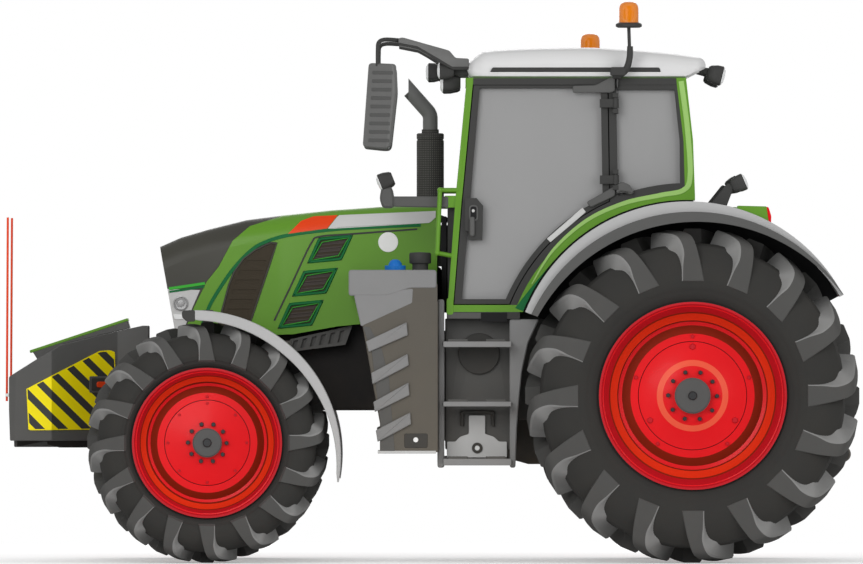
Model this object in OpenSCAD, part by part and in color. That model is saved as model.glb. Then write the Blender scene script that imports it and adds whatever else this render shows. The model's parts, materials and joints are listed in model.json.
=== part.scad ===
// Farm tractor with a glazed cab, steered front axle, front ballast and rear hitch. Millimetres.
// +X is forward, +Y is the tractor's left, +Z is up; the tyres stand on Z = 0.
// The frame's origin lies midway between the foremost and the rearmost point.

/* [Stance] */
// Distance between the two axles
wheelbase = 2783; // [2720:2840]
// Front axle to the foremost point of the marker holders
front_reach = 1175; // [1150:1210]
// Rear track, wheel centre to wheel centre
rear_track = 1890; // [1870:1930]
// Front track, wheel centre to wheel centre
front_track = 1900; // [1880:1930]

/* [Wheels] */
// Rear tyre radius over the lugs
rear_tyre_r = 960; // [930:970]
// Rear tyre width
rear_tyre_w = 650; // [600:660]
// Rear rim flange radius
rear_rim_r = 538; // [510:560]
// Front tyre radius over the lugs
front_tyre_r = 690; // [670:696]
// Front tyre width
front_tyre_w = 540; // [500:550]
// Front rim flange radius
front_rim_r = 430; // [410:440]
// Height of the tread lugs
lug_h = 46; // [36:54]
// Tread lugs on each side of a tyre
lugs_per_side = 16; // [14:1:18]
// How far a lug stands out from the sidewall
lug_side = 14; // [10:18]
// Half width of the rear rim
rear_rim_half = 262; // [240:270]
// Half width of the front rim
front_rim_half = 215; // [205:225]

/* [Front axle] */
// Kingpin distance from the centre line
kingpin_y = 700; // [690:710]
// Kingpin radius
kingpin_r = 30; // [26:34]
// Steering arm length, kingpin to rod
steer_arm = 190; // [180:200]
// Front spindle radius
spindle_r = 60; // [50:66]
// Front axle beam depth
axle_beam_h = 140; // [120:150]
// Front fender skin radius
front_fender_r = 840; // [834:850]
// Front fender width
front_fender_w = 400; // [360:410]

/* [Body] */
// Half width of the engine block
engine_half = 225; // [200:228]
// Half width of the gearbox
gearbox_half = 250; // [235:258]
// Bonnet wall thickness
hood_wall = 14; // [10:18]
// Bonnet half width at its rear end
hood_rear_half = 430; // [410:434]
// Bonnet half width at its nose
hood_nose_half = 330; // [320:340]

/* [Cab] */
// Cab half width at the sill
cab_sill_y = 890; // [884:900]
// Inward lean of the cab sides, degrees
cab_lean = 4.2; // [3.8:4.6]
// Thickness of the cab's side frames
cab_ring_t = 50; // [44:54]
// Height of the roof's underside
roof_z = 2786; // [2770:2800]
// Half width of the roof
roof_half = 800; // [780:815]
// Glass thickness
glass_t = 8; // [5:10]
// Gap round a door
door_gap = 6; // [5.5:9]
// Rear fender outer radius
fender_r = 1003; // [998:1008]
// Rear fender outer edge
fender_edge_y = 1150; // [1130:1160]

/* [Outside] */
// Outer side of the fuel tank
tank_y = 1000; // [960:1020]
// Muffler radius
muffler_r = 80; // [70:86]
// Exhaust pipe radius
pipe_r = 44; // [40:46]
// Step tread width
step_w = 180; // [160:200]
// Beacon dome radius
beacon_r = 56; // [48:62]
// Marker rod radius
marker_r = 7; // [5:9]

/* [Rear hitch] */
// Half of the lower links' spacing at their balls
link_ball_y = 440; // [420:455]
// Bore of the lower link balls, radius
link_bore_r = 18.6; // [16:20]
// Drawbar pin bore radius
drawbar_bore_r = 16.5; // [14:19]
// Top link pin bore radius
top_link_bore_r = 16; // [13:18]
// PTO stub radius
pto_r = 22; // [17:24]

/* [Hidden] */
$fn = 48;
run_gap = 0.3;
overall_length = wheelbase + front_reach + rear_tyre_r;
front_x = overall_length / 2;
fx = front_x - front_reach;
rx = fx - wheelbase;
front_z = front_tyre_r;
rear_z = rear_tyre_r;
front_wheel_y = front_track / 2;
rear_wheel_y = rear_track / 2;

engine_rear_x = rx + 1439;
engine_front_x = fx - 330;
engine_z0 = 870;
engine_z1 = 1700;
axle_top = front_z + axle_beam_h / 2;
frame_top = 1000;
frame_front_x = fx + 348;
frame_half = 190;
gearbox_rear_x = rx - 261;
gearbox_z0 = 560;
gearbox_z1 = 1330;

floor_z = 1440;
floor_t = 40;
cab_x = rx + 1408;
tub_half = rear_wheel_y - rear_tyre_w / 2 - 35;
tub_rear_x = rx + 19;
bulkhead_x = cab_x - 4;
bulkhead_t = 60;
bulkhead_z = 2050;
header_z = roof_z - 46;
arch_x = rx + 27;
arch_z = rear_z + 111;
fender_crown = arch_z + fender_r;
rear_wall_z = fender_crown + 12;
fender_t = 20;
trim_t = 40;
door_t = 35;

hood_rear_x = cab_x + 57;
hood_nose_x = fx + 282;
hood_chin_x = fx + 195;
hinge_x = cab_x + 71;
hinge_z = 1990;
skirt_y = 342;

tank_in = 445;
tank_x0 = cab_x + 51;
tank_x1 = fx - 990;

exhaust_z = 1640;
stack_x = cab_x + 96;
stack_y = -720;
outlet_z = 2590;

link_x = rx - 141;
link_z = 600;
lift_x = rx - 101;
lift_z = 1280;
rod_top_x = lift_x - 357;
rod_top_z = lift_z + 50;
rod_foot_x = link_x - 400;
rod_foot_z = link_z + 11;
ball_x = link_x - 730;
ball_z = link_z + 20;
// The balls are bored square to their links.
link_splay = atan((link_ball_y - 310) / (link_x - ball_x));

// A side view drawn in X and Z, given thickness from y0 to y1.
module side(y0, y1)
    translate([0, y1, 0]) rotate([90, 0, 0]) linear_extrude(y1 - y0) children();

// The same, in the leaning plane of the cab's left side; y counts outward from its outer face.
module cab_side(y0, y1)
    translate([0, cab_sill_y, floor_z]) rotate([cab_lean, 0, 0])
        translate([0, 0, -floor_z]) side(y0, y1) children();

module both() {
    children();
    mirror([0, 1, 0]) children();
}

module box(x0, x1, y0, y1, z0, z1)
    translate([x0, y0, z0]) cube([x1 - x0, y1 - y0, z1 - z0]);

// A round bar from p to q.
module bar(p, q, r) {
    v = q - p;
    translate(p) rotate([0, acos(v.z / norm(v)), atan2(v.y, v.x)]) cylinder(h = norm(v), r = r);
}

// A cylinder along Y.
module shaft(x, z, y0, y1, r)
    translate([x, y0, z]) rotate([-90, 0, 0]) cylinder(h = y1 - y0, r = r);

// A half section in radius and axial place, turned about a wheel's axis; +Y is outboard.
module turned()
    rotate([-90, 0, 0]) rotate_extrude($fn = 96) children();

function arc(x, z, r, a0, a1, n) = [for (i = [0:n])
    let(a = a0 + (a1 - a0) * i / n) [x + r * cos(a), z + r * sin(a)]];

// Wheels

// Half width of a tyre's casing at the share t of its height above the rim.
function bulge(t, w, bead) = t < 0.45 ? w / 2 - (w / 2 - bead) * pow(1 - t / 0.45, 2)
    : w / 2 - 0.09 * w * pow((t - 0.45) / 0.55, 2.5);

module casing(r, w, rim_r, rim_half) {
    bead = rim_half - 23;
    seat = rim_r - 26 + run_gap;
    foot = rim_r + 6;
    side_up = [for (i = [0:10]) [foot + (r - 16 - foot) * i / 10, bulge(i / 10, w, bead)]];
    half = concat([[seat, 0], [seat, bead]], side_up, [[r - 4, 0.36 * w], [r, 0.2 * w]]);
    turned() polygon(concat(half, [for (i = [len(half) - 1:-1:1]) [half[i].x, -half[i].y]]));
}

// One cross bar of the tread, from low on the sidewall over the shoulder to the tread's middle.
// A station is its turn round the wheel in degrees, half its width, and its inner and outer radius and place.
module lug(r, w, casing_w) {
    c = casing_w / 2;
    h = w / 2;
    sweep = 0.42 * w / r * 180 / PI;
    stations = [[0, 0.05 * r, [0.70 * r, c - 26], [0.70 * r, c - 3]],
        [0, 0.05 * r, [0.84 * r, c - 40], [0.855 * r, h - 4]],
        [0.12 * sweep, 0.048 * r, [r - lug_h - 24, 0.39 * w], [r - 8, 0.435 * w]],
        [sweep, 0.034 * r, [r - lug_h - 14, 12], [r, 12]]];
    function corner(t, p, side) = let(a = t[0] - side * t[1] / p.x * 180 / PI)
        [p.x * sin(a), p.y, p.x * cos(a)];
    loft([for (t = stations)
        [corner(t, t[2], -1), corner(t, t[3], -1), corner(t, t[3], 1), corner(t, t[2], 1)]]);
}

module tyre(r, w, rim_r, rim_half) {
    casing_w = w - 2 * lug_side;
    pitch = 360 / lugs_per_side;
    casing(r - lug_h, casing_w, rim_r, rim_half);
    for (i = [0:lugs_per_side - 1]) {
        rotate([0, pitch * i, 0]) lug(r, w, casing_w);
        rotate([0, pitch * (i + 0.5), 0]) mirror([0, 1, 0]) lug(r, w, casing_w);
    }
}

// Rim, disc and hub in one; the axle end runs in the hub's blind bore.
module rim(rim_r, half, disc_r, disc_y, drum_r, bore_r, hub_in, bore_end, cap_r, cap_y, stud_r) {
    well = rim_r - 40;
    rise = half - disc_y;
    turned() polygon([[rim_r, half], [rim_r, half - 14], [rim_r - 26, half - 22],
        [rim_r - 26, 22 - half], [rim_r, 14 - half], [rim_r, -half], [well, -half],
        [well, disc_y - 84], [disc_r + 8, disc_y - 50], [drum_r, disc_y - 50],
        [drum_r, hub_in], [bore_r, hub_in], [bore_r, bore_end], [0, bore_end], [0, cap_y],
        [cap_r, cap_y], [cap_r, disc_y + 26], [disc_r * 0.48, disc_y + 22], [disc_r * 0.58, disc_y + 4],
        [disc_r, disc_y], [0.755 * rim_r, disc_y - 30], [0.793 * rim_r, disc_y - 24],
        [0.81 * rim_r, disc_y + 0.05 * rise], [0.882 * rim_r, disc_y + 0.27 * rise],
        [0.895 * rim_r, disc_y + 0.34 * rise], [rim_r - 16, half - 6], [rim_r - 12, half]]);
    for (i = [0:9]) rotate([0, 36 * i, 0]) shaft(stud_r, 0, disc_y + 10, disc_y + 46, 13);
}

module front_tyre() tyre(front_tyre_r, front_tyre_w, front_rim_r, front_rim_half);
module rear_tyre() tyre(rear_tyre_r, rear_tyre_w, rear_rim_r, rear_rim_half);

module front_rim()
    rim(front_rim_r, front_rim_half, 287, 70, 150, spindle_r + run_gap, -150, -30, 84, 130, 111);
module rear_rim()
    rim(rear_rim_r, rear_rim_half, 356, 80, 190, 70 + run_gap, -150, -30, 103, 150, 140);

module front_left() translate([fx, front_wheel_y, front_z]) children();
module front_right() mirror([0, 1, 0]) front_left() children();
module rear_left() translate([rx, rear_wheel_y, rear_z]) children();
module rear_right() mirror([0, 1, 0]) rear_left() children();

module front_tyre_left() color("DimGray") front_left() front_tyre();
module front_tyre_right() color("DimGray") front_right() front_tyre();
module front_rim_left() color("Red") front_left() front_rim();
module front_rim_right() color("Red") front_right() front_rim();
module rear_tyre_left() color("DimGray") rear_left() rear_tyre();
module rear_tyre_right() color("DimGray") rear_right() rear_tyre();
module rear_rim_left() color("Red") rear_left() rear_rim();
module rear_rim_right() color("Red") rear_right() rear_rim();

// Frame and drive

module engine_block() color("DarkSlateGray")
    box(engine_rear_x, engine_front_x, -engine_half, engine_half, engine_z0, engine_z1);

module radiator() color("Black")
    box(fx - 170, fx + 10, -260, 260, frame_top, 1690);

module front_frame() color("DimGray")
    side(-frame_half, frame_half) polygon([[engine_front_x, frame_top], [engine_front_x, 800],
        [fx - 120, axle_top], [frame_front_x, axle_top], [frame_front_x, frame_top]]);

module gearbox() color("DimGray") {
    side(-gearbox_half, gearbox_half) polygon([[engine_rear_x, gearbox_z1], [engine_rear_x, 700],
        [engine_rear_x - 500, gearbox_z0], [gearbox_rear_x, gearbox_z0], [gearbox_rear_x, gearbox_z1]]);
    for (x = [tub_rear_x + 40, cab_x - 240]) both()
        box(x, x + 120, 100, 220, gearbox_z1 - 10, floor_z - floor_t);
}

module rear_axle() color("DimGray") both() {
    shaft(rx, rear_z, gearbox_half, rear_wheel_y - 185, 135);
    shaft(rx, rear_z, gearbox_half, rear_wheel_y - 40, 70);
}

fork_h = 125;
rod_z = front_z - 75;
rod_x = fx - steer_arm;

module front_axle() color("DimGray") difference() {
    union() {
        box(fx - 90, fx + 90, -kingpin_y + 150, kingpin_y - 150, front_z - axle_beam_h / 2, axle_top);
        both() {
            box(fx - 80, fx + 80, kingpin_y - 170, kingpin_y - 130, front_z - fork_h, front_z + fork_h);
            for (z = [front_z - fork_h, front_z + fork_h - 40]) {
                box(fx - 75, fx + 75, kingpin_y - 140, kingpin_y, z, z + 40);
                translate([fx, kingpin_y, z]) cylinder(h = 40, r = 75);
            }
        }
        shaft(rod_x, rod_z, -230, 230, 38);
        both() box(rod_x - 20, fx - 80, 150, 200, rod_z - 25, front_z - 30);
    }
    shaft(rod_x, rod_z, -240, 240, 18 + run_gap);
    both() translate([fx, kingpin_y, front_z - fork_h - 5])
        cylinder(h = 2 * fork_h + 10, r = kingpin_r + run_gap);
}

module steering_rod() color("Silver") {
    shaft(rod_x, rod_z, -kingpin_y, kingpin_y, 18);
    both() translate([rod_x, kingpin_y, rod_z - 20]) cylinder(h = 40, r = 32);
}

stay_y = 628;
module knuckle() {
    translate([fx, kingpin_y, front_z - fork_h + 46]) cylinder(h = 2 * fork_h - 92, r = 72);
    translate([fx, kingpin_y, front_z - fork_h - 10]) cylinder(h = 2 * fork_h + 45, r = kingpin_r);
    shaft(fx, front_z, kingpin_y, front_wheel_y - 40, spindle_r);
    box(rod_x - 25, fx, kingpin_y - 28, kingpin_y + 28, rod_z + 27, rod_z + 62);
    translate([rod_x, kingpin_y, rod_z + 27]) cylinder(h = 35, r = 34);
    // Stay for the fender, carried on the kingpin's head.
    box(fx - 34, fx + 34, stay_y, kingpin_y + 34, front_z + fork_h + 8, front_z + fork_h + 35);
    box(fx - 30, fx + 30, stay_y, stay_y + 24, front_z + fork_h + 8, fender_top + 4);
    box(fx - 30, fx + 30, stay_y, fender_in, fender_top - 16, fender_top + 4);
    box(fx - 480, fx, stay_y, stay_y + 24, front_z + fork_h + 8, front_z + fork_h + 60);
    box(fx - 480, fx - 430, stay_y, stay_y + 24, front_z + fork_h + 8, back_top);
    box(fx - 480, fx - 430, stay_y, fender_in, back_top - 30, back_top);
}
fender_cx = fx + 72;
fender_cz = front_z - 79;
fender_in = front_wheel_y - front_fender_w * 0.35;
fender_top = fender_cz + front_fender_r - 4;
back_top = fender_cz + sqrt(pow(front_fender_r - 8, 2) - pow(fx - 430 - fender_cx, 2));

module knuckle_left() color("DimGray") knuckle();
module knuckle_right() color("DimGray") mirror([0, 1, 0]) knuckle();

module front_fender() {
    out = fender_in + front_fender_w;
    side(fender_in, out) polygon(concat(arc(fender_cx, fender_cz, front_fender_r, 85.6, 190, 26),
        arc(fender_cx, fender_cz, front_fender_r - 18, 190, 85.6, 26)));
    side(out - 20, out) polygon(concat(arc(fender_cx, fender_cz, front_fender_r, 85.6, 190, 26),
        arc(fender_cx, fender_cz, front_fender_r - 34, 190, 85.6, 26)));
}
module front_fender_left() color("DarkGray") front_fender();
module front_fender_right() color("DarkGray") mirror([0, 1, 0]) front_fender();

// Bonnet

hood_top = [[0, 2060], [270, 2049], [615, 2026], [885, 1997], [1100, 1970], [1320, 1915], [1480, 1868],
    [1600, 1815]];
hood_low = [[0, 1405], [488, 1376], [960, 1297], [1448, 1319], [1600, 1330]];
// The bonnet's outlines are drawn on a length of 1600 and follow the real length.
hood_k = (hood_nose_x - hood_rear_x) / 1600;

// One closed cross section of the bonnet, grown inward by d; s runs from 0 at the rear to 1 at the nose.
function hood_ring(s, d, low) = let(
        top_x = hood_rear_x + s * (hood_nose_x - hood_rear_x),
        low_x = hood_rear_x + s * (hood_chin_x - hood_rear_x),
        zt = lookup(s * 1600, hood_top),
        zb = lookup(s * 1600, hood_low),
        hw = lookup(s, [[0, hood_rear_half], [0.5, 375], [1, hood_nose_half]]),
        r = 110,
        left = concat([[hw - d, low ? zb - 40 : zb]],
            [for (i = [0:6]) let(c = cos(15 * i))
                [hw - r + (r - d) * c, zt - r - 20 * c * c + (r - d) * sin(15 * i)]]),
        all = concat(left, [for (i = [len(left) - 1:-1:0]) [-left[i].x, left[i].y]]))
    [for (p = all) [low_x + (top_x - low_x) * (p.y - zb) / (zt - zb), p.x, p.y]];

// A solid skinned over rings that all have the same number of points.
module loft(rings) {
    n = len(rings[0]);
    m = len(rings);
    polyhedron([for (r = rings) for (p = r) p], concat(
        [[for (i = [0:n - 1]) i]],
        [for (k = [0:m - 2]) for (i = [0:n - 1]) [k * n + i, (k + 1) * n + i, (k + 1) * n + (i + 1) % n]],
        [for (k = [0:m - 2]) for (i = [0:n - 1]) [k * n + i, (k + 1) * n + (i + 1) % n, k * n + (i + 1) % n]],
        [[for (i = [n - 1:-1:0]) (m - 1) * n + i]]));
}

stations = [0, 0.17, 0.38, 0.55, 0.69, 0.825, 0.925, 1];
louvre_corners = [[683, 1868], [771, 1676], [853, 1491]];
// A louvre's upper edge and its front edge, each from its upper front corner.
louvre_top = [-201, 19];
louvre_side = [68, -150];
function on_hood(points) = [for (p = points) [hood_rear_x + hood_k * p.x, p.y]];
module hood_outer() loft([for (s = stations) hood_ring(s, 0, false)]);
module hood_inner() loft([for (s = [-0.02, 0.17, 0.38, 0.55, 0.69, 0.825, 0.925, 0.975])
    hood_ring(s, hood_wall, true)]);
module hood_skin() difference() { hood_outer(); hood_inner(); }

module nose_area() polygon(on_hood([[920, 2100], [905, 1990], [1080, 1935], [1180, 1850], [1260, 1700],
    [1331, 1612], [1402, 1467], [1452, 1340], [1470, 1200], [1750, 1200], [1750, 2100]]));
module lamp_area() polygon(on_hood([[1367, 1566], [1760, 1580], [1760, 1300], [1473, 1300], [1460, 1340],
    [1410, 1467]]));
module grille_area() {
    polygon(on_hood([[1270, 1336], [1092, 1336], [925, 1836], [960, 1838], [985, 1829], [1051, 1796],
        [1117, 1746], [1172, 1669], [1201, 1595]]));
    for (p = louvre_corners)
        polygon(on_hood([p, p + louvre_side, p + louvre_side + louvre_top, p + louvre_top]));
}

// Slots of the big grille and of the three louvres, each following its panel's slanting sides.
function grille_front(z) = lookup(z, [[1336, 1270], [1595, 1201], [1669, 1172], [1746, 1117], [1796, 1051]]) - 30;
function grille_back(z) = lookup(z, [[1336, 1092], [1836, 925]]) + 30;
module grille_slots() {
    for (z = [1375:56:1711]) polygon(on_hood([[grille_back(z), z], [grille_front(z), z],
        [grille_front(z + 26), z + 26], [grille_back(z + 26), z + 26]]));
    for (p = louvre_corners) for (v = [0.2, 0.45, 0.7])
        polygon(on_hood([for (k = [[0.12, 0], [0.88, 0], [0.88, 0.12], [0.12, 0.12]])
            p + k.x * louvre_top + (v + k.y) * louvre_side]));
}

module hood_shell() color("OliveDrab") {
    difference() {
        hood_skin();
        side(-600, 600) nose_area();
        side(-600, 600) lamp_area();
        side(-600, 600) grille_area();
    }
    both() difference() {
        union() {
            shaft(hinge_x, hinge_z, 236, 290, 26);
            box(hinge_x - 10, hinge_x + 40, 236, 290, hinge_z, 2050);
        }
        shaft(hinge_x, hinge_z, 230, 300, 12 + run_gap);
    }
}

module hood_nose() color("DarkSlateGray") difference() {
    intersection() {
        hood_skin();
        side(-600, 600) nose_area();
    }
    both() side(130, 600) lamp_area();
}

module headlamps() color("Silver") both() intersection() {
    hood_skin();
    side(130, 600) lamp_area();
}

module hood_grilles() color("SaddleBrown") both() intersection() {
    hood_skin();
    side(100, 600) difference() {
        grille_area();
        grille_slots();
    }
}

// A slotted skirt under each side of the bonnet; u runs from rear to front, v from foot to top.
function skirt(u, v) = (1 - u) * ((1 - v) * [529, 1250] + v * [488, 1362])
    + u * ((1 - v) * [885, 1204] + v * [845, 1282]);
module side_grilles() color("DimGray") both() difference() {
    side(engine_half, skirt_y) polygon(on_hood([skirt(0, 0), skirt(1, 0), skirt(1, 1), skirt(0, 1)]));
    side(skirt_y - 20, skirt_y + 10) for (u = [0.08:0.15:0.83])
        polygon(on_hood([skirt(u, 0.18), skirt(u + 0.07, 0.18), skirt(u + 0.1, 0.82),
            skirt(u + 0.03, 0.82)]));
}

// Cab

function a_front(d) = [[cab_x - d, floor_z - 20], [cab_x - 46 - d, 2054], [cab_x - 116 - d, 2800]];
function at_arch(r, x) = arch_z + sqrt(r * r - pow(x - arch_x, 2));
function arch_out(r, z) = arch_x + sqrt(r * r - pow(z - arch_z, 2));
function arch_angle(r, x) = acos((x - arch_x) / r);
function arch_low(r, z) = asin((z - arch_z) / r);

ring_r = fender_r + 12;
open_r = fender_r + 57;
strip_r = open_r + 38;
sill_top = floor_z + 40;
c_out = [[rx + 35, 2800], [rx - 6, 2428], [rx - 17, fender_crown + 38]];
c_in = [[rx + 87, header_z + 12], [rx + 49, 2428], [rx + 41, fender_crown + 60]];
b_top = rx + 480;
b_low = rx + 470;

// Points of the cab's side opening, from the sill's front corner round to the sill's rear corner.
function open_edge() = concat([[cab_x - 36, sill_top], [cab_x - 82, 2054], [cab_x - 148, header_z + 12]],
    c_in,
    arc(arch_x, arch_z, open_r, arch_angle(open_r, rx + 41), arch_low(open_r, sill_top), 18));

module cab_ring() difference() {
    polygon(concat([for (p = a_front(0)) p], c_out,
        arc(arch_x, arch_z, ring_r, arch_angle(ring_r, rx - 17), arch_low(ring_r, floor_z - 20), 18)));
    polygon(open_edge());
}

// The door's outline, its gap already taken off.
module door_outline() {
    g = door_gap;
    r = strip_r + g;
    polygon(concat([[cab_x - 36 - g, sill_top + g], [cab_x - 82 - g, 2054],
        [cab_x - 148 - g, header_z + 12 - g], [b_top + g, header_z + 12 - g],
        [b_low + g, at_arch(r, b_low + g)]],
        arc(arch_x, arch_z, r, arch_angle(r, b_low + g), arch_low(r, sill_top + g), 14)));
}

// The door's window; d grows it.
module door_window(d) {
    r = strip_r + 36 - d;
    polygon(concat([[cab_x - 86 + d, sill_top + 34 - d], [cab_x - 131 + d, 2054],
        [cab_x - 188 + d, header_z - 10 + d], [b_top + 44 - d, header_z - 10 + d],
        [b_low + 44 - d, at_arch(r, b_low + 44 - d)]],
        arc(arch_x, arch_z, r, arch_angle(r, b_low + 44 - d), arch_low(r, sill_top + 34 - d), 14)));
}

// The fixed quarter window; d grows it.
module quarter_window(d) {
    r = open_r + 52 - d;
    polygon(concat([[b_top - 44 + d, header_z - 20 + d], [c_in[0].x + 14 - d, header_z - 20 + d],
        [c_in[1].x + 22 - d, 2428], [c_in[2].x + 28 - d, at_arch(r, c_in[2].x + 28 - d)]],
        arc(arch_x, arch_z, r, arch_angle(r, c_in[2].x + 28 - d), arch_angle(r, b_low - 44 + d), 8)));
}

// Fixed dark frame behind the door: middle pillar, quarter window frame and the strip along the arch.
module trim_outline() difference() {
    polygon(open_edge());
    polygon(concat([[cab_x, sill_top - 1], [cab_x, header_z + 60], [b_top, header_z + 60],
        [b_low, at_arch(strip_r, b_low)]],
        arc(arch_x, arch_z, strip_r, arch_angle(strip_r, b_low), arch_low(strip_r, sill_top - 1), 14)));
    quarter_window(0);
}

hinge_in = rx + 439;
door_hinges = [2200, 2640];
hinge_off = 22;

module cab_slice() intersection() {
    children();
    box(rx - 500, cab_x + 200, -1200, 1200, floor_z, roof_z);
}

module cab_frame() color("OliveDrab") {
    both() cab_slice() cab_side(-cab_ring_t, 0) cab_ring();
    box(cab_x - 152, cab_x - 108, -770, 770, header_z, roof_z);
    box(rx + 40, rx + 80, -770, 770, header_z, roof_z);
    // Pads for the lamp arms and the hand rails.
    both() {
        box(cab_x - 80, cab_x + 12, 800, 836, 2040, 2108);
        bar([cab_x - 70, 824, 2140], [cab_x + 40, 872, 2140], 13);
        bar([cab_x + 40, 872, 2140], [cab_x + 56, 886, 1778], 13);
        bar([cab_x + 56, 886, 1778], [cab_x - 45, 844, 1760], 13);
        translate([cab_x + 40, 872, 2140]) sphere(16);
        translate([cab_x + 56, 886, 1778]) sphere(16);
    }
}

module window_frames() color("DimGray") both() {
    cab_side(-trim_t, 0) trim_outline();
    for (z = door_hinges) {
        for (d = [-58, 33]) cab_side(-10, hinge_off + 14) translate([hinge_in - 16, z + d]) square([32, 25]);
        cab_hinge(z - 45, z + 45, 9);
    }
}

// A cylinder on the left door's hinge axis.
module cab_hinge(z0, z1, r)
    translate([0, cab_sill_y, floor_z]) rotate([cab_lean, 0, 0])
        translate([hinge_in, hinge_off, z0 - floor_z]) cylinder(h = z1 - z0, r = r);

module door() difference() {
    union() {
        cab_side(-door_t, 0) difference() {
            door_outline();
            door_window(0);
        }
        for (z = door_hinges) {
            cab_side(8, 30) translate([hinge_in, z - 24]) square([b_low + 60 - hinge_in, 48]);
            cab_side(-10, 20) translate([b_low + 16, z - 24]) square([24, 48]);
            cab_hinge(z - 27, z + 27, 18);
        }
        cab_side(-6, 26) polygon([[cab_x - 104, 1910], [cab_x - 124, 1900], [cab_x - 124, 1853],
            [cab_x - 203, 1853], [cab_x - 207, 2050], [cab_x - 170, 2094], [cab_x - 104, 2094]]);
    }
    for (z = door_hinges) cab_hinge(z - 40, z + 40, 9 + run_gap);
}
module door_pane() cab_side(-door_t - glass_t, -door_t) door_window(16);

module door_left() color("DimGray") door();
module door_left_glass() color("LightSteelBlue", 0.5) door_pane();
module door_right() color("DimGray") mirror([0, 1, 0]) door();
module door_right_glass() color("LightSteelBlue", 0.5) mirror([0, 1, 0]) door_pane();

module cab_glass() color("LightSteelBlue", 0.5) {
    both() cab_side(-trim_t - glass_t, -trim_t) quarter_window(14);
    intersection() {
        side(-900, 900) polygon([[cab_x - 51, bulkhead_z], [cab_x - 51 - glass_t, bulkhead_z],
            [cab_x - 124 - glass_t, header_z], [cab_x - 124, header_z]]);
        pane_front();
    }
    intersection() {
        side(-900, 900) polygon([[tub_rear_x + 6, rear_wall_z], [tub_rear_x + 6 + glass_t, rear_wall_z],
            [rx + 56 + glass_t, header_z], [rx + 56, header_z]]);
        pane_front();
    }
}
// Front view between the leaning cab sides.
module pane_front() {
    k = tan(cab_lean);
    w = cab_sill_y - cab_ring_t / cos(cab_lean) - 4;
    translate([rx - 300, 0, 0]) rotate([90, 0, 90]) linear_extrude(2400)
        polygon([[-w + 300 * k, floor_z + 300], [w - 300 * k, floor_z + 300],
            [w - 1340 * k, floor_z + 1340], [-w + 1340 * k, floor_z + 1340]]);
}

cowl_half = 350;
module cab_tub() color("DimGray") {
    foot_x = arch_out(fender_r, floor_z) + 30;
    box(tub_rear_x, bulkhead_x + 4, -tub_half, tub_half, floor_z - floor_t, floor_z);
    both() box(foot_x, bulkhead_x + 4, tub_half - 5, cab_sill_y, floor_z - floor_t, floor_z);
    both() side(tub_half - 20, tub_half) polygon(concat([[tub_rear_x, floor_z - 10]],
        arc(arch_x, arch_z, fender_r, arch_low(fender_r, floor_z - 10), arch_angle(fender_r, tub_rear_x),
            18)));
    box(tub_rear_x, tub_rear_x + 40, -tub_half, tub_half, floor_z - 10, rear_wall_z);
    box(bulkhead_x - bulkhead_t, bulkhead_x, -775, 775, floor_z - 10, bulkhead_z);
    // Cowl that fills the space between the bulkhead and the bonnet.
    box(bulkhead_x - 5, hood_rear_x - 8, -cowl_half, cowl_half, engine_z1 + 2, hinge_z - 50);
    box(bulkhead_x - 5, engine_rear_x - 2, -cowl_half, cowl_half, floor_z - 5, engine_z1 + 3);
    // Brackets and pins of the bonnet's hinge.
    both() {
        side(196, 230) polygon([[bulkhead_x - 20, hinge_z - 34], [hinge_x + 20, hinge_z - 34],
            [hinge_x + 20, hinge_z + 18], [hinge_x - 16, hinge_z + 18], [bulkhead_x - 20, hinge_z - 14]]);
        shaft(hinge_x, hinge_z, 200, 290, 12);
    }
}

module cab_roof() color("Gainsboro") intersection() {
    side(-roof_half, roof_half) polygon([[cab_x - 132, roof_z], [cab_x - 115, roof_z + 44],
        [cab_x - 115, roof_z + 84], [cab_x - 201, roof_z + 159], [cab_x - 509, roof_z + 176],
        [rx + 586, roof_z + 182], [rx + 299, roof_z + 164], [rx - 63, roof_z + 124],
        [rx - 80, roof_z + 94], [rx - 80, roof_z + 54], [rx + 29, roof_z]]);
    translate([rx - 300, 0, 0]) rotate([90, 0, 90]) linear_extrude(2400) polygon(concat(
        [[-roof_half, roof_z], [roof_half, roof_z]], arc(roof_half - 110, roof_z + 90, 110, 0, 80, 6),
        [for (i = [6:-1:0]) let(a = i * 80 / 6)
            [-(roof_half - 110 + 110 * cos(a)), roof_z + 90 + 110 * sin(a)]]));
}

module seat() color("Black") {
    box(rx + 250, rx + 620, -170, 170, floor_z, floor_z + 330);
    box(rx + 200, rx + 700, -250, 250, floor_z + 330, floor_z + 470);
    side(-240, 240) polygon([[rx + 230, floor_z + 470], [rx + 350, floor_z + 470],
        [rx + 250, floor_z + 1080], [rx + 160, floor_z + 1080]]);
}

module steering_console() color("Black") {
    wall_x = bulkhead_x - bulkhead_t;
    box(wall_x - 190, wall_x, -120, 120, floor_z, floor_z + 520);
    bar([wall_x - 130, 0, floor_z + 500], [wall_x - 260, 0, floor_z + 680], 28);
    translate([wall_x - 260, 0, floor_z + 680]) rotate([0, -36, 0]) {
        rotate_extrude() translate([190, 0]) circle(15);
        box(-185, 185, -18, 18, -10, 10);
        box(-18, 18, -185, 185, -10, 10);
    }
}

// Rear fenders and what sits on them

fender_a0 = 21.6;
fender_a1 = 152.3;
module fender_sector()
    polygon(concat([[arch_x, arch_z]], arc(arch_x, arch_z, 1600, fender_a0, fender_a1, 20)));
module fender_circle(r) translate([arch_x, arch_z]) circle(r, $fn = 128);

module rear_fenders() color("DarkGray") both() {
    side(tub_half, fender_edge_y) intersection() {
        difference() {
            fender_circle(fender_r);
            fender_circle(fender_r - fender_t);
        }
        fender_sector();
    }
    side(fender_edge_y - 20, fender_edge_y) intersection() {
        difference() {
            fender_circle(fender_r);
            translate([rx, rear_z + 33]) circle(fender_r - 1, $fn = 128);
        }
        fender_sector();
    }
}

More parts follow.
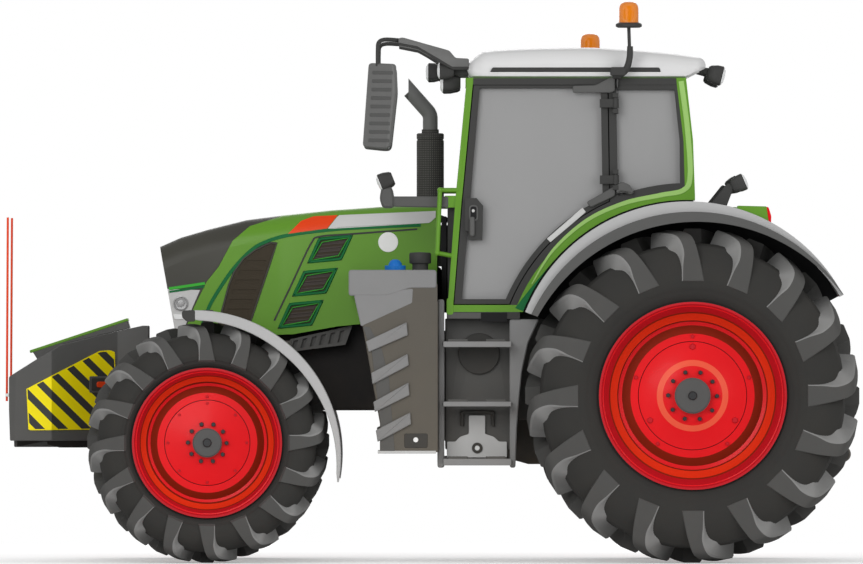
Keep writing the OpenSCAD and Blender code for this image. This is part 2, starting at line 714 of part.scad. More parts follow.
module fender_lips() color("DimGray") both() side(fender_edge_y, fender_edge_y + 34) intersection() {
    difference() {
        translate([rx, rear_z + 33]) circle(fender_r + 19, $fn = 128);
        translate([rx - 26, rear_z - 45]) circle(fender_r + 39, $fn = 128);
    }
    fender_sector();
}

module tail_lamps() color("Red") both() difference() {
    box(rx - 454, rx - 304, 960, 1110, fender_crown - 174, fender_crown - 28);
    side(500, 1300) fender_circle(fender_r + run_gap);
}

// Left and right side

tank_low = 635;
tank_top = 1500;
tank_len = tank_x1 - tank_x0;
module tank_side(top) polygon([[tank_x0, tank_low], [tank_x1, tank_low], [tank_x1, tank_low + 165],
    [tank_x1 + 103, tank_top - 124], [tank_x1 + 103, top], [tank_x0, top]]);
// Two lugs that carry a tank on the engine.
module tank_lugs() for (u = [0.12, 0.66])
    box(tank_x0 + u * tank_len, tank_x0 + (u + 0.28) * tank_len, engine_half, tank_in + 10, 900, 1000);

module fuel_tank() color("DimGray") {
    side(tank_in, tank_y) tank_side(tank_top);
    tank_lugs();
}

guard_z = 1681;
// Front edge of the tank at a height, a little inside it.
function slat_front(z) = tank_x1 - 12 + 103 * max(0, z - tank_low - 165) / (tank_top - 124 - tank_low - 165);
module tank_guard() color("Gray") {
    side(tank_in, tank_y) polygon([[tank_x0, tank_top], [tank_x1 + 103, tank_top],
        [tank_x1 + 178, tank_top + 40], [tank_x1 + 178, guard_z], [tank_x0 + 40, guard_z],
        [tank_x0, tank_top + 54]]);
    // Slats that slant up to the rear, from the tank's front edge.
    for (z = [690:172:1206]) side(tank_y, tank_y + 22) polygon([[slat_front(z), z],
        [tank_x0 + 0.3 * tank_len, z + 45], [tank_x0 + 0.26 * tank_len, z + 95],
        [tank_x0 + 0.42 * tank_len, z + 165], [slat_front(z + 130), z + 130]]);
}

module tank_caps() color("SteelBlue") {
    translate([tank_x0 + 242, 800, guard_z]) cylinder(h = 46, r = 48);
    translate([tank_x0 + 92, 760, guard_z]) cylinder(h = 103, r = 42);
}

module exhaust_box() color("DimGray") mirror([0, 1, 0]) {
    side(tank_in, tank_y) tank_side(exhaust_z);
    tank_lugs();
}

module exhaust_stack() color("Gray") {
    translate([stack_x, stack_y, exhaust_z]) cylinder(h = 480, r = pipe_r + 5);
    translate([stack_x, stack_y, 2106]) cylinder(h = 373, r = muffler_r);
    // The outlet turns forward behind a collar; its mouth is open and cut upright.
    translate([stack_x, stack_y, 2470]) cylinder(h = outlet_z - 2470, r = pipe_r);
    translate([stack_x, stack_y, outlet_z]) sphere(pipe_r + 4);
    difference() {
        translate([stack_x, stack_y, outlet_z]) rotate([0, 41.5, 0]) difference() {
            cylinder(h = 330, r = pipe_r);
            translate([0, 0, 90]) cylinder(h = 260, r = pipe_r - 5);
        }
        box(stack_x + 128, stack_x + 500, stack_y - 100, stack_y + 100, outlet_z - 100, outlet_z + 500);
    }
}

module cab_steps() color("Gray") both() {
    for (x = [cab_x, cab_x - 395]) box(x, x + 44, 846, 878, 560, floor_z - floor_t);
    box(cab_x + 8, cab_x + 40, 846, 878, floor_z - floor_t - 5, 1520);
    for (z = [607, 911, 1261]) box(cab_x - 400, cab_x + 45, 846, 846 + step_w, z - 45, z);
}

box_top = floor_z - floor_t - 1;
module tool_box() color("DimGray") both() {
    box(cab_x - 380, cab_x + 10, gearbox_half, 780, 650, box_top);
    shaft(cab_x - 184, 1200, 770, 800, 117);
    // Apron inboard of the rear tyre.
    box(cab_x - 563, cab_x - 370, tub_half - 45, tub_half - 15, 819, box_top);
}

// Mirrors, lamps and beacons

mirror_x = cab_x + 384.6;
mirror_y = 1030;
mirror_turn = 42;
arm_turn = 31;
module mirrors() color("DimGray") both() {
    // The root on the roof's front carries the front lamps too.
    box(cab_x - 115, cab_x + 20, 640, 760, roof_z + 44, roof_z + 84);
    translate([cab_x - 115, 700, roof_z]) rotate([0, 0, arm_turn]) side(-35, 35)
        polygon([[30, 60], [94, 52], [183, 86], [264, 131], [330, 163], [458, 186], [458, 226],
            [430, 230], [118, 156], [78, 114], [30, 78]]);
    bar([cab_x + 241, 914, 2986], [mirror_x + 12, mirror_y, 2996], 14);
    translate([mirror_x + 12, mirror_y, 2996]) sphere(19);
    bar([mirror_x + 12, mirror_y, 2996], [mirror_x + 12, mirror_y, 2780], 14);
    translate([mirror_x, mirror_y, 0]) rotate([0, 0, -mirror_turn]) side(-18, 18)
        polygon([[78, 2869], [-116, 2862], [-125, 2709], [-78, 2392], [-53, 2375], [125, 2388]]);
}

module work_lamps() color("DimGray") both() {
    box(cab_x - 35, cab_x + 109, 640, 760, roof_z - 71, roof_z + 44);
    box(rx - 184, rx - 80, 560, 690, roof_z - 20, roof_z + 84);
    box(cab_x + 12, cab_x + 290, 800, 836, 2045, 2103);
    box(cab_x + 270, cab_x + 379, 760, 880, 2103, 2255);
    difference() {
        union() {
            box(rx - 240, rx - 200, 1010, 1050, fender_crown - 74, fender_crown + 56);
            box(rx - 322, rx - 138, 970, 1090, fender_crown + 36, fender_crown + 147);
        }
        side(500, 1300) fender_circle(fender_r + run_gap);
    }
}

module beacon(x, y, z) {
    translate([x, y, z]) cylinder(h = 32, r = beacon_r + 12);
    translate([x, y, z + 31]) cylinder(h = 82, r = beacon_r);
    translate([x, y, z + 112]) cylinder(h = 38, r1 = beacon_r - 1, r2 = beacon_r - 18);
}
module beacons() color("Orange") {
    by = roof_half + beacon_r + 22;
    box(rx + 380, rx + 470, roof_half, by + 20, roof_z + 10, roof_z + 60);
    bar([rx + 425, by, roof_z + 50], [rx + 382, by, roof_z + 190], 14);
    translate([rx + 382, by, roof_z + 190]) sphere(18);
    bar([rx + 382, by, roof_z + 190], [rx + 364, by, 3080], 14);
    beacon(rx + 364, by, 3072);
    box(rx + 530, rx + 610, -by - 20, -roof_half, roof_z + 10, roof_z + 60);
    bar([rx + 571, -by, roof_z + 40], [rx + 571, -by, 2920], 14);
    beacon(rx + 571, -by, 2911);
}

// Front ballast

bx = front_x - 28;
module ballast_plan(d) {
    h = [[frame_front_x, frame_half], [fx + 530, 205], [fx + 900, 640], [bx - 40, 640], [bx, 600]];
    polygon(concat([for (p = h) [p.x, p.y + d]], [for (i = [4:-1:0]) [h[i].x, -h[i].y - d]]));
}
module ballast_side() polygon([[bx, 1066], [bx, 880], [bx - 6, 698], [frame_front_x, 698],
    [frame_front_x, 1359], [frame_front_x + 40, 1359], [frame_front_x + 270, 1307], [bx - 299, 1250],
    [bx - 155, 1164]]);

module front_ballast() color("DimGray") {
    intersection() {
        side(-800, 800) ballast_side();
        translate([0, 0, 600]) linear_extrude(900) ballast_plan(0);
    }
    box(frame_front_x + 20, bx - 20, -170, 170, 658, 700);
}

module hazard_boards() color("Gold") intersection() {
    side(-800, 800) polygon([[bx - 98, 1003], [bx - 104, 762], [frame_front_x + 201, 762],
        [frame_front_x + 184, 1210], [frame_front_x + 270, 1216]]);
    translate([0, 0, 600]) linear_extrude(900) difference() {
        ballast_plan(8);
        ballast_plan(0);
    }
}

module ballast_trim() color("OliveDrab") side(-190, 190) polygon([[frame_front_x + 110, 1344],
    [frame_front_x + 270, 1307.5], [bx - 299, 1250.5], [bx - 155, 1164.5], [bx - 127, 1210],
    [frame_front_x + 127, 1399]]);

module marker_rods() color("Orange") both() {
    box(bx, front_x, 520, 560, 900, 960);
    translate([front_x - 16, 540, 955]) cylinder(h = 1030, r = marker_r);
}

// Rear hitch

module rear_hitch() color("DimGray") {
    both() {
        shaft(link_x, link_z, gearbox_half, 345, 24);
        shaft(lift_x, lift_z, gearbox_half, 345, 30);
    }
    difference() {
        union() {
            both() side(32, 57) polygon([[gearbox_rear_x, 1190], [gearbox_rear_x, 1010],
                [gearbox_rear_x - 95, 1060], [gearbox_rear_x - 95, 1140]]);
            box(gearbox_rear_x - 20, gearbox_rear_x, -57, 57, 1010, 1190);
        }
        shaft(gearbox_rear_x - 65, 1100, -80, 80, top_link_bore_r);
    }
    difference() {
        union() {
            box(gearbox_rear_x - 40, gearbox_rear_x, -120, 120, 570, 690);
            box(gearbox_rear_x - 190, gearbox_rear_x - 20, -60, 60, 660, 690);
            box(gearbox_rear_x - 190, gearbox_rear_x - 20, -60, 60, 570, 600);
        }
        translate([gearbox_rear_x - 140, 0, 560]) cylinder(h = 140, r = drawbar_bore_r);
    }
    translate([gearbox_rear_x - 110, 0, 790]) rotate([0, 90, 0]) cylinder(h = 110, r = pto_r);
    translate([gearbox_rear_x - 24, 0, 790]) rotate([0, 90, 0]) cylinder(h = 24, r = 70);
}

// One lower link; s is 1 on the left and -1 on the right.
module lower_link(s) difference() {
    union() {
        shaft(link_x, link_z, s * 310 - 25, s * 310 + 25, 48);
        bar([link_x, s * 310, link_z], [ball_x, s * link_ball_y, ball_z], 27);
        translate([ball_x, s * link_ball_y, ball_z]) rotate([-90, 0, -s * link_splay])
            cylinder(h = 66, r = 46, center = true);
    }
    shaft(link_x, link_z, s * 310 - 90, s * 310 + 90, 24 + run_gap);
    translate([ball_x, s * link_ball_y, ball_z]) rotate([-90, 0, -s * link_splay])
        cylinder(h = 120, r = link_bore_r, center = true);
}
module lower_links() color("DimGray") for (s = [-1, 1]) lower_link(s);

module lift_arms() color("DimGray") both() difference() {
    union() {
        shaft(lift_x, lift_z, 285, 335, 55);
        bar([lift_x, 310, lift_z], [rod_top_x, 310, rod_top_z], 24);
        shaft(rod_top_x, rod_top_z, 290, 330, 32);
        shaft(rod_top_x, rod_top_z, 290, 385, 15);
    }
    shaft(lift_x, lift_z, 200, 400, 30 + run_gap);
}

module lift_rods() color("Silver") both() difference() {
    union() {
        shaft(rod_top_x, rod_top_z, 340, 375, 30);
        bar([rod_top_x, 357, rod_top_z], [rod_foot_x, 420, rod_foot_z + 50], 17);
    }
    shaft(rod_top_x, rod_top_z, 300, 400, 15 + run_gap);
}

engine_block();
radiator();
front_frame();
gearbox();
rear_axle();
front_axle();
steering_rod();
knuckle_left();
knuckle_right();
front_fender_left();
front_fender_right();
front_tyre_left();
front_tyre_right();
front_rim_left();
front_rim_right();
rear_tyre_left();
rear_tyre_right();
rear_rim_left();
rear_rim_right();
hood_shell();
hood_nose();
hood_grilles();
headlamps();
side_grilles();
cab_tub();
cab_frame();
window_frames();
cab_glass();
cab_roof();
door_left();
door_left_glass();
door_right();
door_right_glass();
seat();
steering_console();
rear_fenders();
fender_lips();
tail_lamps();
fuel_tank();
tank_guard();
tank_caps();
exhaust_box();
exhaust_stack();
cab_steps();
tool_box();
mirrors();
work_lamps();
beacons();
front_ballast();
hazard_boards();
ballast_trim();
marker_rods();
rear_hitch();
lower_links();
lift_arms();
lift_rods();
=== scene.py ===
"""Looks for a farm tractor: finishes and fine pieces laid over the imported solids.

Lengths are metres in the part's own frame: +X forward, +Y to the tractor's left, +Z up, ground at Z = 0.
"""

from __future__ import annotations

import json
import logging
import math
from dataclasses import dataclass
from enum import Enum
from functools import cache
from typing import Callable, Sequence

import bmesh
import bpy
import numpy as np
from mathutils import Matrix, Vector

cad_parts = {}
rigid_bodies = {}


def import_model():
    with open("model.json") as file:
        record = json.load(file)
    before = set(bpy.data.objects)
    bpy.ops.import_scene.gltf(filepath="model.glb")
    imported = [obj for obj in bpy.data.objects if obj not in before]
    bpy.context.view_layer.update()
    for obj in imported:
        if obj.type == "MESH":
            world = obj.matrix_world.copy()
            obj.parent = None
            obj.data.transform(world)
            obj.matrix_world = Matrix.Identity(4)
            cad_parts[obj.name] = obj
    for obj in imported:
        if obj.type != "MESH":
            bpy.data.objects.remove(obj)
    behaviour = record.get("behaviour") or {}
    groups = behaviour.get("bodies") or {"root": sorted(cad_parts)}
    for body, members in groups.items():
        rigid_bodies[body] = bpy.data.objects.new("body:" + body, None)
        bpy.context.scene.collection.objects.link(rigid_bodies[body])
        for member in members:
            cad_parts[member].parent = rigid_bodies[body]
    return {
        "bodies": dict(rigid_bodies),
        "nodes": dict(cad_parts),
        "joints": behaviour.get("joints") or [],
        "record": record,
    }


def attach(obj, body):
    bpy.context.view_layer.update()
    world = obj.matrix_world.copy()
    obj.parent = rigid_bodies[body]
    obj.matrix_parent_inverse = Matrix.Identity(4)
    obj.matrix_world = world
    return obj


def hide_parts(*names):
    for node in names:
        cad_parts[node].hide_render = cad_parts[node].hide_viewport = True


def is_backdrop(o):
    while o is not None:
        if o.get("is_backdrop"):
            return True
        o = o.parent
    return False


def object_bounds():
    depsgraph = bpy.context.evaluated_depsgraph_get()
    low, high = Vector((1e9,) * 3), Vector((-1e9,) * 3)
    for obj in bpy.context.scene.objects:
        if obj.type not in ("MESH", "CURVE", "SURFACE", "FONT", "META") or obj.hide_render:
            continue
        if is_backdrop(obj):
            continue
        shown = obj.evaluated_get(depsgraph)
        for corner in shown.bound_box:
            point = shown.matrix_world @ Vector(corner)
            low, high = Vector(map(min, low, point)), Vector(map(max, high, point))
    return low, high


LOG = logging.getLogger("tractor")
Array = np.ndarray
Socket = bpy.types.NodeSocket
Outline = Sequence[tuple[float, float]]
Lay = Callable[[Array, Array, Array], Array]


class Side(Enum):
    """The tractor's left and right, as the sign of Y."""

    LEFT = 1
    RIGHT = -1

    @property
    def word(self) -> str:
        """The side's name as the bodies use it."""
        return self.name.lower()

    @property
    def flip(self) -> Array:
        """Factors that carry a left-hand piece to this side."""
        return np.array([1, self.value, 1])


# Shader wiring


class Wire:
    """A node tree with short calls to place and join its nodes."""

    def __init__(self, tree: bpy.types.NodeTree) -> None:
        """Keeps the tree to work on."""
        self.tree = tree

    def node(self, kind: str, **settings: object) -> bpy.types.Node:
        """Places a node.

        Args:
            kind: The node's type name.
            settings: Attributes to set on it.

        Returns:
            The new node.
        """
        made = self.tree.nodes.new(kind)
        for key, value in settings.items():
            setattr(made, key, value)
        return made

    def feed(self, target: Socket, value: object) -> None:
        """Links a socket to another, or sets a plain value on it.

        Args:
            target: The input socket.
            value: An output socket, or a plain value.
        """
        if isinstance(value, bpy.types.NodeSocket):
            self.tree.links.new(value, target)
        else:
            target.default_value = value

    def math(self, operation: str, a: object, b: object = 0.0, clamp: bool = False) -> Socket:
        """One step of arithmetic.

        Args:
            operation: The Math node's operation.
            a: First socket or number.
            b: Second socket or number.
            clamp: True to keep the result from 0 to 1.

        Returns:
            The result's socket.
        """
        made = self.node("ShaderNodeMath", operation=operation, use_clamp=clamp)
        self.feed(made.inputs[0], a)
        self.feed(made.inputs[1], b)
        return made.outputs[0]

    def blend(self, factor: object, a: object, b: object) -> Socket:
        """Mixes two colours.

        Args:
            factor: The second colour's share.
            a: First colour.
            b: Second colour.

        Returns:
            The mixed colour's socket.
        """
        made = self.node("ShaderNodeMix", data_type="RGBA")
        self.feed(made.inputs["Factor"], factor)
        self.feed(made.inputs[6], a)
        self.feed(made.inputs[7], b)
        return made.outputs[2]

    def place(self) -> Socket:
        """The Object coordinates."""
        return self.node("ShaderNodeTexCoord").outputs["Object"]

    def axes(self) -> bpy.types.NodeOutputs:
        """The Object coordinates as sockets named X, Y and Z.

        Returns:
            The sockets.
        """
        split = self.node("ShaderNodeSeparateXYZ")
        self.feed(split.inputs[0], self.place())
        return split.outputs

    def noise(self, scale: object, detail: float = 3.0) -> Socket:
        """Soft noise over Object coordinates.

        Args:
            scale: Patches per metre.
            detail: Finer layers on top of the first.

        Returns:
            The noise's socket, from 0 to 1.
        """
        made = self.node("ShaderNodeTexNoise")
        self.feed(made.inputs["Vector"], self.place())
        self.feed(made.inputs["Scale"], scale)
        made.inputs["Detail"].default_value = detail
        return made.outputs["Fac"]


def linear(rgb: tuple[int, int, int]) -> tuple[float, float, float, float]:
    """Turns a colour as seen on a screen into the linear colour that shaders take.

    Args:
        rgb: Red, green and blue from 0 to 255.

    Returns:
        Linear red, green, blue and an alpha of 1.
    """
    share = np.array(rgb) / 255.0
    low = share / 12.92
    high = ((share + 0.055) / 1.055) ** 2.4
    return (*np.where(share <= 0.04045, low, high).tolist(), 1.0)


SOIL = (150, 132, 104)
CLOUD_SCALE = 7.0
CLOUD_DETAIL = 5.0
CLOUD_GAIN = 1.6
DUST_ROUGHNESS = 0.4
PATCH_ROUGHNESS = 0.15
GRAIN_DETAIL = 2.0
COAT_ROUGHNESS = 0.12
WEATHER_SETTINGS = ("Gloss", "Shade", "Patch", "Dust", "Dust Top", "Grain Scale")


@cache
def field_weather() -> bpy.types.NodeTree:
    """The group that gives every finish its uneven tone, its soil dust and its fine grain.

    Colour is the base colour with its value raised and lowered by soft noise, mixed towards soil by a dust
    mask that fades from the ground up to Dust Top. Roughness rises with the dust, and Height is fine noise.

    Returns:
        The node group.
    """
    tree = bpy.data.node_groups.new("Field weather", "ShaderNodeTree")
    face = tree.interface
    face.new_socket("Colour", in_out="INPUT", socket_type="NodeSocketColor")
    for label in WEATHER_SETTINGS:
        face.new_socket(label, in_out="INPUT", socket_type="NodeSocketFloat")
    face.new_socket("Colour", in_out="OUTPUT", socket_type="NodeSocketColor")
    for label in ("Roughness", "Height"):
        face.new_socket(label, in_out="OUTPUT", socket_type="NodeSocketFloat")
    wire = Wire(tree)
    given = wire.node("NodeGroupInput").outputs
    patch = wire.math("SUBTRACT", wire.noise(given["Patch"]), 0.5)
    tone = wire.node("ShaderNodeHueSaturation")
    wire.feed(tone.inputs["Value"], wire.math("ADD", 1.0, wire.math("MULTIPLY", patch, given["Shade"])))
    wire.feed(tone.inputs["Color"], given["Colour"])
    height = wire.axes()["Z"]
    low = wire.math("SUBTRACT", 1.0, wire.math("DIVIDE", height, given["Dust Top"]), clamp=True)
    cloud = wire.math("MULTIPLY", wire.noise(CLOUD_SCALE, CLOUD_DETAIL), CLOUD_GAIN)
    mask = wire.math("MULTIPLY", wire.math("MULTIPLY", low, cloud), given["Dust"], clamp=True)
    rough = wire.math("ADD", given["Gloss"], wire.math("MULTIPLY", mask, DUST_ROUGHNESS))
    rough = wire.math("ADD", rough, wire.math("MULTIPLY", patch, PATCH_ROUGHNESS), clamp=True)
    result = wire.node("NodeGroupOutput").inputs
    wire.feed(result["Colour"], wire.blend(mask, tone.outputs[0], linear(SOIL)))
    wire.feed(result["Roughness"], rough)
    wire.feed(result["Height"], wire.noise(given["Grain Scale"], GRAIN_DETAIL))
    return tree


@dataclass(frozen=True)
class Finish:
    """A surface finish.

    Gloss is the roughness of the clean surface, specular the strength of its mirror-like part, and grain the
    depth of its bump in metres.
    """

    name: str
    rgb: tuple[int, int, int]
    gloss: float = 0.45
    shade: float = 0.12
    patch: float = 2.5
    dust: float = 0.12
    dust_top: float = 1.6
    metal: float = 0.0
    coat: float = 0.0
    specular: float = 0.18
    grain: float = 0.0
    grain_scale: float = 260.0
    alpha: float = 1.0

    def base(self, wire: Wire) -> object:
        """The base colour, a plain one unless a finish has a pattern."""
        return linear(self.rgb)


@dataclass(frozen=True)
class StripedFinish(Finish):
    """Slanting stripes: the second colour fills its share of each pitch of X - Z, counted from start."""

    second: tuple[int, int, int] = (60, 60, 59)
    pitch: float = 0.1315
    start: float = 0.494
    share: float = 0.434

    def base(self, wire: Wire) -> object:
        """The striped base colour.

        Args:
            wire: The material's tree.

        Returns:
            The colour's socket.
        """
        spot = wire.axes()
        across = wire.math("SUBTRACT", spot["X"], spot["Z"])
        phase = wire.math("FRACT", wire.math("ADD", wire.math("DIVIDE", across, self.pitch), self.start))
        dark = wire.math("GREATER_THAN", phase, 1.0 - self.share)
        return wire.blend(dark, linear(self.rgb), linear(self.second))


@dataclass(frozen=True)
class PerforatedFinish(Finish):
    """Round holes on a tube about a vertical axis: rows by height, columns by the angle round the axis."""

    second: tuple[int, int, int] = (22, 22, 22)
    axis: tuple[float, float] = (0.0, 0.0)
    rows: float = 77.0
    columns: float = 38.0
    hole: float = 0.24

    def base(self, wire: Wire) -> object:
        """The base colour with holes in the second colour.

        Args:
            wire: The material's tree.

        Returns:
            The colour's socket.
        """
        spot = wire.axes()
        dx = wire.math("SUBTRACT", spot["X"], self.axis[0])
        dy = wire.math("SUBTRACT", spot["Y"], self.axis[1])
        turn = wire.math("MULTIPLY", wire.math("ARCTAN2", dy, dx), self.columns / math.tau)
        rise = wire.math("MULTIPLY", spot["Z"], self.rows)
        u = wire.math("SUBTRACT", wire.math("FRACT", wire.math("ADD", turn, 100.0)), 0.5)
        v = wire.math("SUBTRACT", wire.math("FRACT", rise), 0.5)
        far = wire.math("ADD", wire.math("MULTIPLY", u, u), wire.math("MULTIPLY", v, v))
        return wire.blend(wire.math("LESS_THAN", far, self.hole**2), linear(self.rgb), linear(self.second))


class Look(Enum):
    """The tractor's finishes."""

    GREEN = Finish("Leaf green paint", (96, 146, 42), gloss=0.38, coat=0.03, shade=0.07, dust=0.0)
    PALE_GREEN = Finish("Pale green band", (152, 194, 108), gloss=0.4)
    DEEP_GREEN = Finish("Deep green edge", (0, 100, 50), gloss=0.5)
    BRIGHT_GREEN = Finish("Bright green line", (58, 170, 53), gloss=0.5)
    NOSE = Finish("Bonnet nose plastic", (64, 63, 57), gloss=0.4)
    BROWN = Finish("Grille mesh", (63, 56, 45), gloss=0.7, grain=0.002, grain_scale=420.0)
    NET = Finish("Louvre net", (76, 69, 65), gloss=0.7, grain=0.002, grain_scale=420.0)
    ROOF = Finish("Roof shell", (217, 217, 217), gloss=0.45, dust=0.0, shade=0.04)
    TRIM = Finish("Dark trim", (58, 58, 57), gloss=0.55, grain=0.0004)
    RUBBER_SEAL = Finish("Black seal", (26, 26, 27), gloss=0.7, dust=0.0)
    HINGE = Finish("Hinge casting", (88, 88, 87), gloss=0.5, dust=0.0)
    FENDER = Finish("Fender plastic", (177, 177, 177), gloss=0.5, shade=0.05)
    LIP = Finish("Fender lip", (87, 87, 86), gloss=0.65, grain=0.0005)
    TANK = Finish("Tank plastic", (92, 88, 81), gloss=0.6, grain=0.0006)
    GUARD = Finish("Tank guard", (132, 132, 132), gloss=0.55, grain=0.0005)
    CASE = Finish("Mirror case", (104, 104, 103), gloss=0.55, dust=0.0)
    STEP = Finish("Step frame paint", (134, 134, 134), gloss=0.5)
    BRACKET = Finish("Zinc bracket", (198, 198, 197), gloss=0.45)
    BLUE = Finish("Blue cap", (28, 110, 190), gloss=0.45, dust=0.0)
    PIPE = Finish("Exhaust pipe", (111, 111, 110), gloss=0.5, shade=0.14, patch=6.0)
    SHIELD = PerforatedFinish(
        "Perforated shield", (62, 61, 59), gloss=0.6, second=(100, 99, 95), axis=(0.005, -0.72)
    )
    IRON = Finish("Cast frame", (66, 66, 65), gloss=0.7, grain=0.001, dust=0.25)
    ENGINE = Finish("Engine paint", (30, 30, 32), gloss=0.7, dust=0.1)
    STEEL = Finish("Bright steel", (176, 176, 174), gloss=0.28, metal=0.9, dust=0.05)
    BALLAST = Finish("Ballast casting", (87, 87, 86), gloss=0.65, grain=0.0008, dust=0.05)
    YELLOW = Finish("Warning yellow", (253, 234, 12), gloss=0.5, dust=0.0, shade=0.03)
    HAZARD = StripedFinish("Warning stripes", (253, 234, 12), gloss=0.5, dust=0.0, shade=0.03)
    FLASH = Finish("Orange flash", (230, 67, 19), gloss=0.4)
    STRIP = Finish("Side strip", (202, 202, 201), gloss=0.4, dust=0.0)
    WHITE = Finish("White plate", (238, 238, 236), gloss=0.45, dust=0.0)
    # Casing: the tyre rubber darkened as painted shade between the bars.
    CASING = Finish("Tyre casing", (50, 50, 49), gloss=0.85, dust=0.02, dust_top=9.0, grain=0.001)
    LUG = Finish("Tread lug", (78, 78, 77), gloss=0.85, dust=0.02, dust_top=9.0, grain=0.001)
    # Flank: the tyre rubber lightened as painted highlight on one flank of each bar.
    FLANK = Finish("Tread flank", (132, 132, 131), gloss=0.85, dust=0.02, dust_top=9.0, grain=0.001)
    # Crimson flange: the red paint darkened as painted shade.
    RIM_EDGE = Finish("Rim flange", (190, 22, 34), gloss=0.42, coat=0.05, dust=0.0)
    # Orange ring: the red paint lightened as painted highlight.
    RIM_ORANGE = Finish("Rim bead seat", (226, 50, 19), gloss=0.42, coat=0.05, dust=0.0)
    RIM_RED = Finish("Rim paint", (226, 6, 19), gloss=0.4, coat=0.05, dust=0.0)
    # Brown well rings: the red paint darkened as painted shade.
    RIM_WELL = Finish("Rim well", (132, 37, 17), gloss=0.5, dust=0.0)
    RIM_DISC = Finish("Wheel disc", (226, 8, 20), gloss=0.4, coat=0.05, dust=0.0)
    # Pale disc ring: the red paint lightened as painted highlight.
    RIM_LIGHT = Finish("Disc ring", (236, 90, 62), gloss=0.42, coat=0.05, dust=0.0)
    RIM_LINE = Finish("Disc seam", (62, 8, 10), gloss=0.6, dust=0.0)
    HUB = Finish("Hub cap", (84, 84, 83), gloss=0.5, dust=0.0)
    NUT = Finish("Wheel nut", (56, 57, 58), gloss=0.4, metal=0.3, dust=0.0)
    GLASS = Finish("Cab glass", (166, 166, 166), gloss=0.08, shade=0.03, dust=0.0, alpha=0.76)
    LENS = Finish("Clear lens", (232, 233, 233), gloss=0.2, shade=0.04, dust=0.0)
    HEADLAMP = Finish("Headlamp pane", (194, 194, 193), gloss=0.2, shade=0.05, dust=0.0)
    REFLECTOR = Finish("Lamp reflector", (150, 150, 150), gloss=0.25, metal=0.2, dust=0.0)
    RED_LENS = Finish("Red lens", (226, 6, 19), gloss=0.2, dust=0.0)
    AMBER = Finish("Amber lens", (240, 136, 0), gloss=0.2, dust=0.0, alpha=0.8)
    AMBER_CORE = Finish("Amber reflector", (206, 40, 2), gloss=0.3, dust=0.0)
    MARKER = Finish("Marker orange", (232, 68, 22), gloss=0.4, dust=0.0)
    SEAT_CLOTH = Finish("Cushion cloth", (52, 52, 55), gloss=0.9, grain=0.002, grain_scale=600.0, dust=0.0)
    SEAT_EDGE = Finish("Cushion bolster", (38, 38, 40), gloss=0.6, grain=0.0006, dust=0.0)
    MIRROR_GLASS = Finish("Mirror glass", (205, 210, 212), gloss=0.04, metal=1.0, shade=0.01, dust=0.0)


@cache
def material_of(look: Look) -> bpy.types.Material:
    """Builds a finish as a material, once.

    Args:
        look: The finish.

    Returns:
        A Principled material fed by the weather group.
    """
    finish = look.value
    made = bpy.data.materials.new(finish.name)
    made.use_nodes = True
    made.node_tree.nodes.clear()
    wire = Wire(made.node_tree)
    shader = wire.node("ShaderNodeBsdfPrincipled")
    wire.feed(wire.node("ShaderNodeOutputMaterial").inputs["Surface"], shader.outputs[0])
    weather = wire.node("ShaderNodeGroup", node_tree=field_weather())
    wire.feed(weather.inputs["Colour"], finish.base(wire))
    settings = (finish.gloss, finish.shade * 2, finish.patch, finish.dust, finish.dust_top)
    for label, value in zip(WEATHER_SETTINGS, (*settings, finish.grain_scale)):
        weather.inputs[label].default_value = value
    wire.feed(shader.inputs["Base Color"], weather.outputs["Colour"])
    wire.feed(shader.inputs["Roughness"], weather.outputs["Roughness"])
    if finish.grain:
        bump = wire.node("ShaderNodeBump")
        bump.inputs["Distance"].default_value = finish.grain
        wire.feed(bump.inputs["Height"], weather.outputs["Height"])
        wire.feed(shader.inputs["Normal"], bump.outputs[0])
    labels = ("Metallic", "Specular IOR Level", "Coat Weight", "Coat Roughness", "Alpha")
    values = (finish.metal, finish.specular, finish.coat, COAT_ROUGHNESS, finish.alpha)
    for label, value in zip(labels, values):
        shader.inputs[label].default_value = value
    if finish.alpha < 1.0:
        made.surface_render_method = "BLENDED"
    return made


# Shapes as whole arrays


def rounded(outline: Outline, radius: float, steps: int = 5) -> Array:
    """Rounds the corners of a closed outline with one quadratic curve per corner.

    Args:
        outline: The corners.
        radius: Distance from a corner at which its curve begins and ends.
        steps: Points per corner.

    Returns:
        The rounded outline, one row per point.
    """
    here = np.array(outline, float)
    before = np.roll(here, 1, 0) - here
    after = np.roll(here, -1, 0) - here
    gap_before = np.linalg.norm(before, axis=1, keepdims=True)
    gap_after = np.linalg.norm(after, axis=1, keepdims=True)
    start = here + before * np.minimum(radius / gap_before, 0.48)
    end = here + after * np.minimum(radius / gap_after, 0.48)
    t = np.linspace(0, 1, steps)[None, :, None]
    curve = (1 - t) ** 2 * start[:, None] + 2 * t * (1 - t) * here[:, None] + t**2 * end[:, None]
    return curve.reshape(-1, here.shape[1])


def inset(outline: Array, depth: float) -> Array:
    """Moves each point of a closed outline inward along the mean of its two edges' normals.

    Args:
        outline: The outline, turning either way.
        depth: Distance to move, outward if negative.

    Returns:
        The moved outline.
    """
    least = 1e-9
    before = outline - np.roll(outline, 1, 0)
    after = np.roll(outline, -1, 0) - outline
    along = before / np.maximum(np.linalg.norm(before, axis=1, keepdims=True), least)
    along = along + after / np.maximum(np.linalg.norm(after, axis=1, keepdims=True), least)
    along /= np.maximum(np.linalg.norm(along, axis=1, keepdims=True), least)
    normal = np.stack([-along[:, 1], along[:, 0]], 1)
    x, z = outline.T
    turn = np.sign(np.sum(x * np.roll(z, -1) - np.roll(x, -1) * z))
    return outline + normal * depth * turn


def box(x0: float, x1: float, z0: float, z1: float) -> Outline:
    """The corners of an upright rectangle between two places and two heights."""
    return ((x0, z0), (x1, z0), (x1, z1), (x0, z1))


def circle(x: float, z: float, radius: float, count: int) -> Array:
    """The outline of a circle in X and Z."""
    angle = np.linspace(0, math.tau, count, endpoint=False)
    return np.stack([x + radius * np.cos(angle), z + radius * np.sin(angle)], 1)


